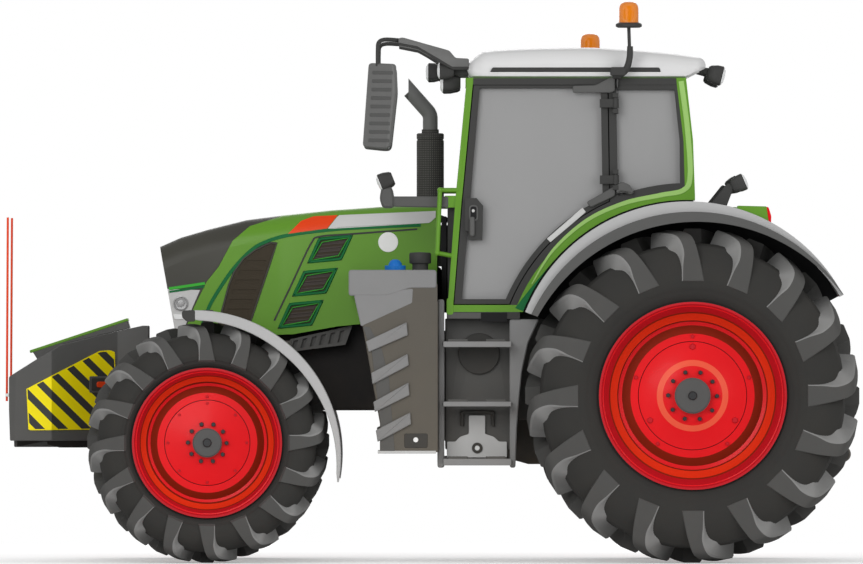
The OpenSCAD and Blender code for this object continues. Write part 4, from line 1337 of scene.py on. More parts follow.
@dataclass(frozen=True)
class Cab:
    """The cab's leaning side planes and the pieces on them.

    Sunk and proud are the depths of a strip's back and face, pane is the depth of the seals' back, and flat
    is half the flat face of a strip as a share of its width.
    """

    sill_y: float = 0.890
    floor_z: float = 1.440
    lean: float = math.radians(4.2)
    arch_x: float = -1.472
    arch_z: float = 1.071
    sunk: float = -0.004
    proud: float = 0.004
    pane: float = -0.05
    flat: float = 0.42

    def on_side(self, side: Side) -> Lay:
        """Makes the function that lays side view places on one leaning cab side.

        Args:
            side: The tractor's side.

        Returns:
            A function of X, outward depth and Z.
        """
        c, s = math.cos(self.lean), math.sin(self.lean)

        def place(x: Array, depth: Array, z: Array) -> Array:
            """Puts places at an outward depth on the side's plane."""
            y = self.sill_y + depth * c - (z - self.floor_z) * s
            return np.stack([x, y * side.value, self.floor_z + depth * s + (z - self.floor_z) * c], -1)

        return place

    def arch(self, radius: float, first: float, last: float, count: int = 24) -> Array:
        """Points of a circle about the wheel arch's middle, in X and Z, between two angles in degrees."""
        angle = np.radians(np.linspace(first, last, count))
        return np.stack([self.arch_x + radius * np.cos(angle), self.arch_z + radius * np.sin(angle)], 1)

    def seals(self, draft: Draft, lay: Lay) -> None:
        """Lays the black seals round the door's glass and along the wheel arch.

        Args:
            draft: Takes the seals.
            lay: Puts X, depth and Z on the cab's side.
        """
        lines = (
            [(-0.130, 1.483), (-0.176, 2.054), (-0.242, 2.749)],
            [(-0.242, 2.758), (-0.6, 2.758), (-1.013, 2.758)],
            [(-0.130, 1.483), (-0.3, 1.483), (-0.455, 1.483)],
            [(-1.016, 2.749), (-1.021, 2.4), (-1.026, 2.09)],
            self.arch(1.101, 22.2, 66.3),
        )
        for line, width in zip(lines, (0.028, 0.02, 0.028, 0.028, 0.028)):
            draft.strip(line, width, lay, Look.RUBBER_SEAL, -0.037, self.pane, self.flat)
        rim = self.arch(1.009, 21.5, 92.0)
        draft.strip(rim, 0.03, lay, Look.RUBBER_SEAL, -0.012, self.pane, self.flat)

    def wedge(self) -> Array:
        """The deep green wedge on the arch: an arc whose width falls off as a square to its tip.

        Returns:
            The closed outline in X and Z.
        """
        outer = self.arch(1.0145, 21.6, 41.0)
        share = np.linspace(1, 0, len(outer))[:, None]
        inner = outer + unit(outer - np.array([self.arch_x, self.arch_z])) * 0.05 * share**2
        return np.concatenate([outer, inner[::-1]])

    def bands(self, side: Side) -> None:
        """Lays the pale band on the rear pillar, the dark header, the seals and the hinge feet on one side.

        Args:
            side: The tractor's side.
        """
        looks = (Look.PALE_GREEN, Look.TRIM, Look.RUBBER_SEAL, Look.DEEP_GREEN)
        draft = Draft(f"cab_bands_{side.word}", *looks, Look.GREEN, Look.LIP, Look.HINGE)
        lay = self.on_side(side)
        sunk, proud = self.sunk, self.proud
        points = [(-1.437, 2.770), (-1.472, 2.5), (-1.488, 2.23), (-1.45, 2.142), (-1.315, 2.112)]
        points += [(-1.108, 2.066), (-0.892, 1.966), (-0.70, 1.795), (-0.578, 1.60)]
        widths = (0.034, 0.034, 0.034, 0.032, 0.03, 0.028, 0.024, 0.018, 0.006)
        draft.strip(points, widths, lay, Look.PALE_GREEN, proud, sunk, self.flat)
        header = np.array([(-0.243, 2.788), (-0.241, 2.748), (-1.412, 2.748), (-1.408, 2.788)])
        draft.plate(header, sunk, proud, lay, 0.0015, Look.TRIM)
        self.seals(draft, lay)
        draft.plate(self.wedge(), sunk, proud, lay, 0.0004, Look.DEEP_GREEN)
        foot = rounded(box(-0.0885, -0.1278, 1.52, 1.424), 0.014)
        draft.plate(foot, -0.03, 0.003, lay, 0.002, Look.GREEN)
        sill = np.array(box(-0.095, -0.285, 1.436, 1.402))
        draft.plate(sill, 0.86, 0.8925, across(side), 0.001, Look.LIP)
        notch = np.array(box(-0.287, -0.4357, 1.436, 1.384))
        draft.plate(notch, 0.86, 0.8925, across(side), 0.001, Look.RUBBER_SEAL)
        upper = [(-1.064, 2.794), (-1.0755, 2.7785), (-1.073, 2.736), (-1.064, 2.722)]
        lower = [(-1.064, 2.169), (-1.0973, 2.1882), (-1.1397, 2.1701), (-1.1639, 2.1253)]
        lower += [(-1.1457, 2.1132), (-1.09, 2.135), (-1.064, 2.117)]
        for outline in (upper, lower):
            draft.plate(rounded(outline, 0.004), sunk, 0.034, lay, 0.004, Look.HINGE)
        draft.build("chassis")

    def door_fittings(self, side: Side) -> None:
        """Sets the reflector strip, the handle and the hinge arms on a door.

        Args:
            side: The tractor's side.
        """
        draft = Draft(f"door_fittings_{side.word}", Look.STRIP, Look.HINGE, Look.RUBBER_SEAL, Look.STEEL)
        lay = self.on_side(side)
        strip = rounded([(-0.6646, 1.8618), (-0.8692, 2.0405), (-0.8893, 2.0152), (-0.6847, 1.8409)], 0.004)
        draft.plate(strip, self.sunk, 0.005, lay, 0.0015)
        oval = rounded([(-0.216, 2.0548), (-0.216, 1.96), (-0.2706, 1.96), (-0.2706, 2.0548)], 0.026, 7)
        draft.plate(oval, 0.02, 0.033, lay, 0.004, Look.HINGE)
        draft.plate(inset(oval, 0.01), 0.03, 0.036, lay, 0.002, Look.RUBBER_SEAL)
        lever = rounded([(-0.2217, 1.985), (-0.2217, 1.873), (-0.2498, 1.873), (-0.2498, 1.985)], 0.012, 6)
        draft.plate(lever, 0.022, 0.046, lay, 0.005, Look.HINGE)
        draft.plate(circle(-0.2418, 2.02, 0.009, 20), 0.03, 0.04, lay, 0.001, Look.STEEL)
        upper = [(-0.813, 2.742), (-0.946, 2.746), (-1.031, 2.7905), (-1.058, 2.794), (-1.058, 2.716)]
        upper += [(-1.037, 2.702), (-0.813, 2.702)]
        lower = [(-0.8917, 2.0709), (-1.058, 2.166), (-1.058, 2.113), (-1.0429, 2.1012), (-0.9158, 2.0406)]
        for outline in (upper, lower):
            draft.plate(rounded(outline, 0.012), 0.006, 0.021, lay, 0.004, Look.HINGE)
        draft.build(f"door_{side.word}")

    def build(self, solids: Solids) -> None:
        """Dresses the cab's solids and sets its fittings.

        Args:
            solids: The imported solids.
        """
        solids.dress("cab_frame", Look.GREEN, bevel=0.006)
        solids.dress("cab_tub", Look.TRIM, bevel=0.004)
        solids.dress("window_frames", Look.TRIM, bevel=0.004)
        solids.dress("steering_console", Look.SEAT_EDGE, bevel=0.006)
        for node in ("cab_glass", "door_left_glass", "door_right_glass"):
            solids.dress(node, Look.GLASS, bevel=0.0)
        for side in Side:
            solids.dress(f"door_{side.word}", Look.TRIM, bevel=0.004)
            self.bands(side)
            self.door_fittings(side)


@dataclass(frozen=True)
class Roof:
    """The cab's roof shell, the dark strips along its sides and a white line of painted highlight below each
    strip.
    """

    crown: Outline = (
        (-1.579, 2.876), (-1.572, 2.896), (-1.56, 2.909), (-1.4, 2.931), (-1.2, 2.950), (-0.913, 2.968),
        (-0.6, 2.963), (-0.4, 2.954), (-0.3, 2.944), (-0.27, 2.927), (-0.206, 2.868),
    )
    under: Outline = ((-1.579, 2.842), (-1.47, 2.787), (-0.223, 2.787), (-0.206, 2.832))
    plan: Outline = (
        (-1.579, 0.70), (-1.54, 0.765), (-1.46, 0.793), (-1.3, 0.7995),
        (-0.4, 0.7995), (-0.3, 0.79), (-0.24, 0.768), (-0.206, 0.72),
    )
    corner: float = 0.09
    camber: float = 0.012

    def shell(self) -> Array:
        """The shell as cross sections along X.

        Each section stands between the under and crown lines at the plan's half width. A quarter circle
        rounds its upper corner, and a parabola lifts the middle above that corner by the camber.

        Returns:
            A grid of closed sections from the rear to the front.
        """
        rear, front = self.plan[0][0], self.plan[-1][0]
        along = rear + (front - rear) * (0.5 - 0.5 * np.cos(np.linspace(0, math.pi, 49)))
        lines = (self.crown, self.under, self.plan)
        top, low, half = (np.interp(along, *np.array(line).T)[:, None] for line in lines)
        theta = np.linspace(0, math.pi / 2, 9)
        corner = np.minimum(self.corner, 0.62 * (top - low))
        edge_y = half - corner + corner * np.cos(theta)
        edge = np.stack([edge_y, top - self.camber - corner + corner * np.sin(theta)], -1)
        share = np.array([0.75, 0.5, 0.25, 0.0])
        middle = np.stack([(half - corner) * share, top - self.camber * share**2], -1)
        foot_y = half * np.array([0.97, 0.994])
        foot = np.stack([foot_y, low + np.array([0.0, 0.01]) * np.ones_like(low)], -1)
        left = np.concatenate([foot, edge, middle], 1)
        right = left[:, -2::-1] * np.array([-1, 1])
        ring = np.concatenate([left, right], 1)
        x = np.broadcast_to(along[:, None, None], (*ring.shape[:2], 1))
        return np.concatenate([x, ring], -1)

    def build(self) -> None:
        """Builds the shell, its strips and the white lines of painted highlight."""
        draft = Draft("roof_shell", Look.ROOF, Look.TRIM, Look.WHITE)
        draft.patch(self.shell())
        root = 0.76
        strip = rounded([(-0.338, 2.819), (-0.352, 2.845), (-1.311, 2.845), (-1.321, 2.819)], 0.008)
        # line outlines the thin white line under each strip, a painted highlight.
        line = np.array([(-0.336, 2.811), (-0.337, 2.817), (-1.321, 2.817), (-1.322, 2.811)])
        for side in Side:
            draft.plate(strip, root, 0.8025, across(side), 0.002, Look.TRIM)
            # The white line is a painted highlight.
            draft.plate(line, root, 0.8015, across(side), 0.001, Look.WHITE)
        draft.build("chassis", ("cab_roof",), sharp=40)


@dataclass(frozen=True)
class Seat:
    """The driver's seat: cushions on a bellows."""

    x: float = -1.05
    floor: float = 1.440
    fill: float = 0.8
    square: float = 0.5
    bellows: float = 0.34
    folds: int = 5

    def cushion(self, name: str, grid: Array, look: Look) -> None:
        """Makes one padded cushion from a grid."""
        made = Draft(name, look).patch(grid).build("chassis", sharp=60)

    def build(self) -> None:
        """Builds the bellows, base, back and arm rests."""
        x, z = self.x, self.floor
        rise = np.linspace(0, 1, 33)
        foot = rounded(box(-0.17, 0.17, -0.16, 0.16), 0.05)
        swell = 1 + 0.06 * np.cos(rise * math.tau * self.folds)
        plan = foot[None] * swell[:, None, None] + np.array([x, 0])
        level = np.broadcast_to((z + 0.001 + rise * self.bellows)[:, None, None], (*plan.shape[:2], 1))
        draft = Draft("seat_bellows", Look.SEAT_EDGE).patch(np.concatenate([plan, level], -1))
        draft.build("chassis", ("seat",), sharp=50)
        base = pillow((x, 0, z + 0.40), (0.25, 0.25, 0.068), self.square)
        self.cushion("seat_base", base, Look.SEAT_CLOTH)
        back = pillow((x - 0.23, 0, z + 0.78), (0.055, 0.235, 0.31), self.square)
        self.cushion("seat_back", turned(back, (x - 0.2, 0, z + 0.47), "Y", -8.0), Look.SEAT_CLOTH)
        for side in (Side.RIGHT, Side.LEFT):
            arm = pillow((x - 0.03, side.value * 0.265, z + 0.66), (0.17, 0.035, 0.03), self.square)
            self.cushion(f"arm_rest_{side.word}", arm, Look.SEAT_EDGE)


# Outside fittings


@dataclass(frozen=True)
class Exhaust:
    """The exhaust on the right: a lower pipe, a perforated muffler and an outlet that turns forward."""

    x: float = 0.005
    y: float = -0.720
    low: float = 1.640
    lower_r: float = 0.049
    muffler: tuple[float, float] = (2.106, 2.479)
    muffler_r: float = 0.0795
    pipe_r: float = 0.0435
    pipe_wall: float = 0.004
    bend_z: float = 2.590
    bend_r: float = 0.07
    turn: float = math.radians(41.5)
    mouth_x: float = 0.1325

    def outlet(self, radius: float, start: float) -> Array:
        """The outlet: a circle carried up, round an arc and on, its last ring slid onto the upright mouth.

        Args:
            radius: The tube's radius.
            start: Height at which it begins.

        Returns:
            A grid of rings.
        """
        r, s, c = self.bend_r, math.sin(self.turn), math.cos(self.turn)
        tangent = self.bend_z - r * math.tan(self.turn / 2)
        angle = np.linspace(0, self.turn, 12)
        knee = np.stack([self.x + r * (1 - np.cos(angle)), tangent + r * np.sin(angle)], 1)
        reach = (self.mouth_x - knee[-1, 0]) / s
        tip = knee[-1] + np.linspace(0, reach, 15)[1:, None] * np.array([s, c])
        rise = np.stack([np.full(14, self.x), np.linspace(start, tangent, 15)[:-1]], 1)
        flat = np.concatenate([rise, knee, tip])
        path = np.stack([flat[:, 0], np.full(len(flat), self.y), flat[:, 1]], 1)
        grid = tube(path, radius, 28)
        along = path[-1] - path[-2]
        slide = (self.mouth_x - grid[-1, :, 0]) / along[0]
        grid[-1] += slide[:, None] * along
        return grid

    def build(self) -> None:
        """Builds the stack in one piece."""
        draft = Draft("exhaust_pipes", Look.PIPE, Look.SHIELD)
        low, high = self.muffler
        r, pipe = self.muffler_r, self.lower_r
        centre = (self.x, self.y, 0)
        lower = np.array([(0.0, self.low), (pipe, self.low), (pipe, low + 0.01), (0.0, low + 0.01)])
        draft.patch(spun(lower, "Z", centre, 32), caps=False)
        can = [(0.0, low), (r - 0.006, low), (r, low + 0.006), (r, high - 0.045), (r - 0.004, high - 0.04)]
        can += [(r - 0.004, high - 0.036), (r, high - 0.032), (r, high - 0.006), (r - 0.008, high)]
        draft.patch(spun(np.array([*can, (0.0, high)]), "Z", centre, 56), Look.SHIELD, caps=False)
        outer = self.outlet(self.pipe_r, high - 0.01)
        inner = self.outlet(self.pipe_r - self.pipe_wall, high - 0.004)[::-1]
        draft.patch(np.concatenate([outer, inner]))
        clamp = np.array([(0.045, high), (0.05, high), (0.05, high + 0.022), (0.045, high + 0.022)])
        draft.patch(spun(clamp, "Z", centre, 32), Look.SHIELD, wrap_u=True)
        draft.build("chassis", ("exhaust_stack",))


@dataclass(frozen=True)
class Lamp:
    """A work lamp: a squarish housing with a domed lens."""

    spot: tuple[float, float, float]
    size: float = 0.1
    depth: float = 0.085
    pitch: float = 0.0
    rear: bool = False
    square: float = 0.55

    def rings(self, rows: Sequence[tuple[float, float]]) -> Array:
        """Squared circles along the lamp's axis, turned and moved to the lamp's spot.

        A circle's sine and cosine are raised to the power square, which flattens its sides.

        Args:
            rows: Radius and place along the axis of each ring.

        Returns:
            A grid of rings.
        """
        count = 36
        angle = np.linspace(0, math.tau, count, endpoint=False)
        c, s = np.cos(angle), np.sin(angle)
        y = np.sign(c) * np.abs(c) ** self.square
        z = np.sign(s) * np.abs(s) ** self.square
        flat = [np.column_stack([np.full(count, a), y * r, z * r]) for r, a in rows]
        grid = np.stack(flat) * (np.array([-1, 1, 1]) if self.rear else 1)
        return turned(grid, (0, 0, 0), "Y", self.pitch) + np.array(self.spot)

    def add(self, draft: Draft) -> None:
        """Adds the lamp to a draft, its housing in dark trim and its lens clear.

        Args:
            draft: Takes the lamp.
        """
        h, d = self.size / 2, self.depth
        back = [(0.0, -d / 2), (h * 0.62, -d / 2), (h * 0.8, -d * 0.36), (h * 0.98, d * 0.05), (h, d * 0.4)]
        back += [(h * 0.93, d * 0.46), (h * 0.9, d * 0.42), (0.0, d * 0.42)]
        draft.patch(self.rings(back), Look.TRIM, caps=False)
        front = [(0.0, d * 0.3), (h * 0.9, d * 0.3), (h * 0.9, d * 0.5), (h * 0.62, d * 0.6)]
        front += [(0.0, d * 0.64)]
        draft.patch(self.rings(front), Look.LENS, caps=False)


@dataclass(frozen=True)
class Fittings:
    """Mirrors, work lamps, beacons and tail lamps."""

    mirror_x: float = 0.2936
    mirror_y: float = 1.03
    mirror_turn: float = math.radians(42)
    slot_count: int = 9
    slot_half: float = 0.058
    arm_x: float = -0.206
    arm_y: float = 0.700
    arm_splay: float = 0.6
    beacon_left_x: float = -1.135
    beacon_right_x: float = -0.928
    beacon_y: float = 0.878

    def on_head(self, side: Side) -> Lay:
        """Makes the function that lays side view places on the mirror's turned head.

        Args:
            side: The tractor's side.

        Returns:
            A function of X, depth and Z.
        """
        slope = math.tan(self.mirror_turn)
        normal = (math.sin(self.mirror_turn), math.cos(self.mirror_turn))

        def place(x: Array, depth: Array, z: Array) -> Array:
            """Puts places at a depth on the head."""
            y = self.mirror_y - (x - self.mirror_x) * slope
            return np.stack([x + depth * normal[0], (y + depth * normal[1]) * side.value, z], -1)

        return place

    def on_arm(self, side: Side) -> Lay:
        """Lays side view places at a depth on the mirror's splayed arm."""
        return laid(side, lambda x, z: self.arm_y + (x - self.arm_x) * self.arm_splay)

    def mirror(self, side: Side) -> None:
        """A mirror: a slotted head turned outward, a bent tube and a broad arm from the roof.

        Args:
            side: The tractor's side.
        """
        looks = (Look.CASE, Look.TRIM, Look.LIP, Look.MIRROR_GLASS, Look.PIPE)
        draft = Draft(f"mirror_{side.word}", *looks)
        head = [(0.3516, 2.869), (0.2074, 2.862), (0.2007, 2.709), (0.2356, 2.392), (0.2542, 2.375)]
        outline = rounded([*head, (0.3865, 2.388)], 0.022)
        lay = self.on_head(side)
        draft.plate(outline, -0.018, 0.018, lay, 0.008)
        draft.plate(inset(outline, 0.016), -0.021, -0.012, lay, 0.002, Look.MIRROR_GLASS)
        half = self.slot_half
        for k in range(self.slot_count):
            x, z = 0.267 + 0.0029 * k, 2.8123 - 0.0485 * k
            left, right = x + half, x - half
            slot = [(left, z + 0.011), (right, z + 0.008), (right, z - 0.011), (left, z - 0.009)]
            draft.plate(rounded(slot, 0.006), 0.014, 0.0205, lay, 0.0015, Look.LIP)
        bend = [(0.306, 1.03, 2.85), (0.306, 1.03, 2.94), (0.3, 1.02, 2.986), (0.262, 0.988, 3.003)]
        path = smooth_path([*bend, (0.17, 0.925, 2.998)], 36) * side.flip
        draft.patch(tube(path, 0.012, 12), Look.TRIM)
        lay = self.on_arm(side)
        edge = [(-0.218, 2.832), (-0.1258, 2.832), (-0.0494, 2.8724), (0.0207, 2.9177)]
        edge += [(0.0765, 2.9493), (0.1873, 2.972)]
        arm = [(0.1873, 3.012), (0.1632, 3.016), (-0.1045, 2.9425), (-0.1396, 2.9005), (-0.218, 2.897)]
        keel = [(0.1873, 2.986), (0.0765, 2.965), (-0.0494, 2.892), (-0.12, 2.85), (-0.218, 2.85)]
        draft.plate(rounded([*arm, *edge], 0.012), -0.035, 0.035, lay, 0.008, Look.PIPE)
        draft.plate(rounded([*keel, *edge], 0.004), -0.037, 0.037, lay, 0.002, Look.TRIM)
        draft.build("chassis")

    def work_lamps(self) -> None:
        """Lamps at the roof's corners, on the bonnet bar and on the rear fenders, with their arms."""
        draft = Draft("work_lamp_set", Look.TRIM, Look.LENS, Look.LIP)
        hanger = rounded(box(-0.24, -0.06, 2.85, 2.80), 0.01)
        bracket = rounded([(-1.55, 2.85), (-1.62, 2.84), (-1.62, 2.80), (-1.53, 2.825)], 0.01)
        bar = rounded([(-0.10, 2.104), (0.24, 2.104), (0.26, 2.065), (0.24, 2.045), (-0.10, 2.038)], 0.01)
        post = [(0.215, 2.036), (0.28, 2.036), (0.297, 2.09), (0.285, 2.16), (0.225, 2.16), (0.212, 2.09)]
        stem = rounded([(-1.60, 2.055), (-1.69, 2.035), (-1.74, 2.165), (-1.70, 2.18)], 0.012)
        for side in (Side.RIGHT, Side.LEFT):
            s, lay = side.value, across(side)
            Lamp((-0.088, s * 0.735, 2.826)).add(draft)
            Lamp((-0.022, s * 0.60, 2.823)).add(draft)
            Lamp((-0.117, s * 0.66, 2.757), depth=0.105).add(draft)
            draft.plate(hanger, 0.58, 0.70, lay, 0.004)
            Lamp((-1.635, s * 0.62, 2.806), 0.115, 0.09, pitch=-14, rear=True).add(draft)
            draft.plate(bracket, 0.595, 0.645, lay, 0.004)
            draft.plate(bar, 0.80, 0.84, lay, 0.006, Look.LIP)
            draft.plate(rounded(post, 0.02), 0.785, 0.855, lay, 0.012, Look.LIP)
            Lamp((0.259, s * 0.82, 2.197), 0.098, pitch=22).add(draft)
            Lamp((-1.763, s * 1.03, 2.1745), depth=0.08, pitch=24, rear=True).add(draft)
            draft.plate(stem, 1.01, 1.05, lay, 0.004)
        draft.build("chassis", ("work_lamps",))

    def beacons(self) -> None:
        """Amber domes on dark feet, with a bent pole on the left and a short one on the right."""
        draft = Draft("beacon_set", Look.TRIM, Look.AMBER, Look.AMBER_CORE)
        left_x, right_x, y = self.beacon_left_x, self.beacon_right_x, self.beacon_y
        foot = [(0.0, 0.0), (0.062, 0.0), (0.074, 0.006), (0.076, 0.01), (0.074, 0.022), (0.06, 0.03)]
        foot += [(0.0, 0.03)]
        dome = [(0.0, 0.03), (0.056, 0.03), (0.056, 0.108), (0.053, 0.126), (0.044, 0.14), (0.026, 0.148)]
        dome += [(0.0, 0.15)]
        for x, side, z in ((left_x, 1, 3.072), (right_x, -1, 2.911)):
            centre = (x, y * side, z)
            draft.patch(spun(np.array(foot), "Z", centre, 48), caps=False)
            draft.patch(spun(np.array(dome), "Z", centre, 48), Look.AMBER, caps=False)
            draft.patch(pillow((x, y * side, z + 0.082), (0.03, 0.03, 0.044), 0.8), Look.AMBER_CORE)
        arm = [(-1.052, 0.84, 2.8), (-1.086, 0.862, 2.804), (-1.122, y, 2.838), (-1.14, y, 2.9)]
        path = smooth_path([*arm, (-1.142, y, 2.966)], 30)
        draft.patch(tube(path, np.linspace(0.022, 0.017, 30), 14))
        draft.patch(tube(np.linspace((-1.139, y, 2.955), (left_x, y, 3.075), 6), 0.010, 14))
        draft.patch(tube(np.linspace((right_x, -y, 2.81), (right_x, -y, 2.915), 6), 0.014, 14))
        half, low, top = 0.045, 2.797, 2.846
        for x, side in ((-1.074, Side.LEFT), (right_x, Side.RIGHT)):
            block = [(x + half, low), (x + half, top), (x - half, top), (x - half, low)]
            draft.plate(rounded(block, 0.012), 0.79, 0.898, across(side), 0.004)
        draft.build("chassis", ("beacons",))

    def tail_lamps(self) -> None:
        """Green housings on the rear fenders with a red end lens."""
        draft = Draft("tail_lamp_set", Look.GREEN, Look.RED_LENS)
        shell = [(-1.75, 2.03), (-1.7566, 2.0497), (-1.922, 2.0455), (-1.935, 1.95), (-1.905, 1.955)]
        lens = [(-1.918, 2.043), (-1.934, 2.041), (-1.95, 1.99), (-1.948, 1.945), (-1.926, 1.945)]
        for side in Side:
            draft.plate(rounded(shell, 0.006), 0.962, 1.108, across(side), 0.004)
            draft.plate(rounded(lens, 0.006), 0.97, 1.10, across(side), 0.004, Look.RED_LENS)
        draft.build("chassis", ("tail_lamps",))

    def build(self) -> None:
        """Builds all of them."""
        for side in Side:
            self.mirror(side)
        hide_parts("mirrors")
        self.work_lamps()
        self.beacons()
        self.tail_lamps()


@dataclass(frozen=True)
class Flanks:
    """Tank, steps and tool boxes between the wheels."""

    tank_y: float = 1.0
    caps_z: float = 1.681
    blue_cap: tuple[float, float] = (0.2065, 0.80)
    black_cap: tuple[float, float] = (0.063, 0.76)
    post_y: tuple[float, float] = (0.848, 0.884)
    plate_y: float = 0.80
    treads: Outline = ((1.2708, 1.2386), (0.9258, 0.898), (0.5978, 0.5599))
    pad_xs: tuple[float, float] = (-0.0972, -0.3148)
    pad_long: float = 0.113

    def tank(self) -> None:
        """The guard with its flap and slats, the floor plate and the drain recess."""
        looks = (Look.GUARD, Look.BRACKET, Look.TRIM, Look.WHITE, Look.TANK, Look.LIP)
        draft = Draft("tank_fittings", *looks)
        lay = across(Side.LEFT)
        y = self.tank_y
        guard = [(0.4734, 1.6815), (-0.031, 1.6815), (-0.031, 1.5771), (0.1204, 1.5771), (0.2494, 1.5328)]
        draft.plate(rounded([*guard, (0.4734, 1.5328)], 0.018), 0.447, y + 0.004, lay, 0.006)
        brow = [(0.39, 1.49), (0.39, 1.545), (-0.036, 1.60), (-0.036, 1.49)]
        draft.plate(np.array(brow), 0.449, y - 0.001, lay, 0.002, Look.TANK)
        flap = [(0.4444, 1.54), (0.1027, 1.575), (0.1083, 1.490), (0.4025, 1.3555)]
        draft.plate(rounded(flap, 0.012), y - 0.03, y + 0.002, lay, 0.004)
        corner = [(0.392, 1.3555), (0.342, 1.2225), (0.2905, 0.80), (0.2905, 0.6395), (0.2091, 0.6395)]
        corner += [(0.2292, 0.9), (0.2413, 1.053), (0.2816, 1.2225), (0.354, 1.3555)]
        draft.plate(np.array(corner), y - 0.02, y + 0.003, lay, 0.001, Look.LIP)
        slats = (
            [(0.3743, 1.2708), (0.1406, 1.3812), (0.1341, 1.3071), (0.3582, 1.2104)],
            [(0.3445, 1.0895), (0.1349, 1.1999), (0.1285, 1.1338), (0.3364, 1.025)],
            [(0.3316, 0.9242), (0.1301, 1.0355), (0.1244, 0.963), (0.3235, 0.8654)],
            [(0.3179, 0.7614), (0.1204, 0.8638), (0.1148, 0.7969), (0.3074, 0.6945)],
        )
        for outline in slats:
            for side in Side:
                draft.plate(rounded(outline, 0.006), y - 0.02, y + 0.02, across(side), 0.004)
        plate = rounded(box(0.3067, -0.0287, 0.6437, 0.6276), 0.004)
        draft.plate(plate, 0.46, y + 0.004, lay, 0.002, Look.BRACKET)
        recess = rounded(box(0.1543, 0.0197, 0.7429, 0.6599), 0.012)
        draft.plate(recess, y - 0.02, y + 0.003, lay, 0.003, Look.TRIM)
        bolt = np.array([(0.0, 0.006), (0.0125, 0.006), (0.0145, 0.004), (0.0145, 0.0)])
        draft.patch(spun(bolt, "Y", (0.0882, y + 0.002, 0.7066), 24), Look.WHITE)
        draft.build("chassis", ("tank_guard",), sharp=25)

    def front_wall(self) -> None:
        """The dark panels in the cab's front corners."""
        draft = Draft("cab_front_wall", Look.RUBBER_SEAL)
        panel = rounded(box(-0.06, -0.0905, 1.99, 1.44), 0.006)
        for side in Side:
            draft.plate(panel, 0.2, 0.56, across(side), 0.003)
        draft.build("chassis")

    def caps(self) -> None:
        """The blue and the black filler cap on the tank."""
        draft = Draft("filler_caps", Look.BLUE, Look.TRIM)
        blue = [(0.0, 0.0), (0.059, 0.0), (0.06, 0.004), (0.06, 0.022), (0.057, 0.026), (0.039, 0.026)]
        blue += [(0.037, 0.038), (0.028, 0.052), (0.015, 0.06), (0.0, 0.062)]
        draft.patch(spun(np.array(blue), "Z", (*self.blue_cap, self.caps_z), 40), caps=False)
        black = [(0.0, 0.0), (0.046, 0.0), (0.046, 0.034), (0.06, 0.038), (0.063, 0.044), (0.063, 0.09)]
        black += [(0.058, 0.1), (0.0, 0.103)]
        draft.patch(spun(np.array(black), "Z", (*self.black_cap, self.caps_z), 40), Look.TRIM, caps=False)
        draft.build("chassis", ("tank_caps",))

    def behind_treads(self, draft: Draft, side: Side) -> None:
        """Adds the bracket with its eye, the handle and the round cover behind the treads.

        Args:
            draft: Takes them.
            side: The tractor's side.
        """
        y = self.plate_y
        plate = [(-0.0908, 0.6945), (-0.139, 0.6945), (-0.165, 0.722), (-0.2165, 0.739), (-0.2165, 0.8453)]
        plate += [(-0.3108, 0.8453), (-0.3108, 0.739), (-0.362, 0.722), (-0.39, 0.6945), (-0.4357, 0.6945)]
        plate += [(-0.4357, 0.604), (-0.0908, 0.604)]
        draft.plate(rounded(plate, 0.008), 0.778, y, across(side), 0.002, Look.BRACKET)
        eye = np.array([(0.0, 0.003), (0.014, 0.003), (0.014, 0.006), (0.031, 0.006), (0.031, 0.0)])
        grid = spun(eye, "Y", (-0.2648, y, 0.658), 32).transpose(1, 0, 2) * side.flip
        draft.patch(grid, wrap_u=True, wrap_v=False, bands=(Look.WHITE, Look.TRIM, Look.TRIM, Look.TRIM))
        pull = [(-0.178, 0.785), (-0.18, 0.84), (-0.19, 0.862), (-0.343, 0.862), (-0.353, 0.84)]
        line = smooth_path([*pull, (-0.355, 0.785)], 40)
        bow = np.column_stack([line[:, 0], np.full(len(line), 0.795), line[:, 1]])
        draft.patch(tube(bow * side.flip, 0.011, 10), Look.TRIM)
        disc = np.array([(0.0, 0.0025), (0.114, 0.0025), (0.1175, 0.0), (0.1175, -0.02)])
        draft.patch(spun(disc, "Y", (-0.275, y, 1.2), 56) * side.flip, Look.TRIM)

    def steps(self) -> None:
        """Posts, treads with pads, the rear panel and what is behind the treads, on both sides."""
        draft = Draft("step_set", Look.STEP, Look.BRACKET, Look.TRIM, Look.LIP, Look.WHITE)
        post = rounded([(-0.0368, 1.5126), (-0.0754, 1.5126), (-0.0762, 0.545), (-0.036, 0.545)], 0.016)
        panel = [(-0.4502, 1.398), (-0.62, 1.398), (-0.5566, 1.2628), (-0.5204, 1.0935), (-0.5042, 0.9323)]
        panel += [(-0.4922, 0.7711), (-0.4841, 0.545), (-0.4518, 0.545)]
        for side in Side:
            lay = across(side)
            draft.plate(post, *self.post_y, lay, 0.01)
            draft.plate(rounded(panel, 0.014), *self.post_y, lay, 0.006)
            for top, low in self.treads:
                draft.plate(rounded(box(-0.07, -0.46, top, low), 0.004), 0.850, 1.024, lay, 0.003)
                for x in self.pad_xs:
                    pad = rounded(box(x, x - self.pad_long, top + 0.013, top - 0.004), 0.004)
                    draft.plate(pad, 0.87, 1.005, lay, 0.003, Look.LIP)
            self.behind_treads(draft, side)
        draft.build("chassis", ("cab_steps",))

    def build(self, solids: Solids) -> None:
        """Dresses the flanks.

        Args:
            solids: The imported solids.
        """
        solids.dress("fuel_tank", Look.TANK, bevel=0.02)
        self.tank()
        self.front_wall()
        self.caps()
        solids.dress("tool_box", Look.LIP, bevel=0.006)
        self.steps()
        solids.dress("exhaust_box", Look.TANK, bevel=0.02)
        solids.dress("side_grilles", Look.LIP, bevel=0.003)


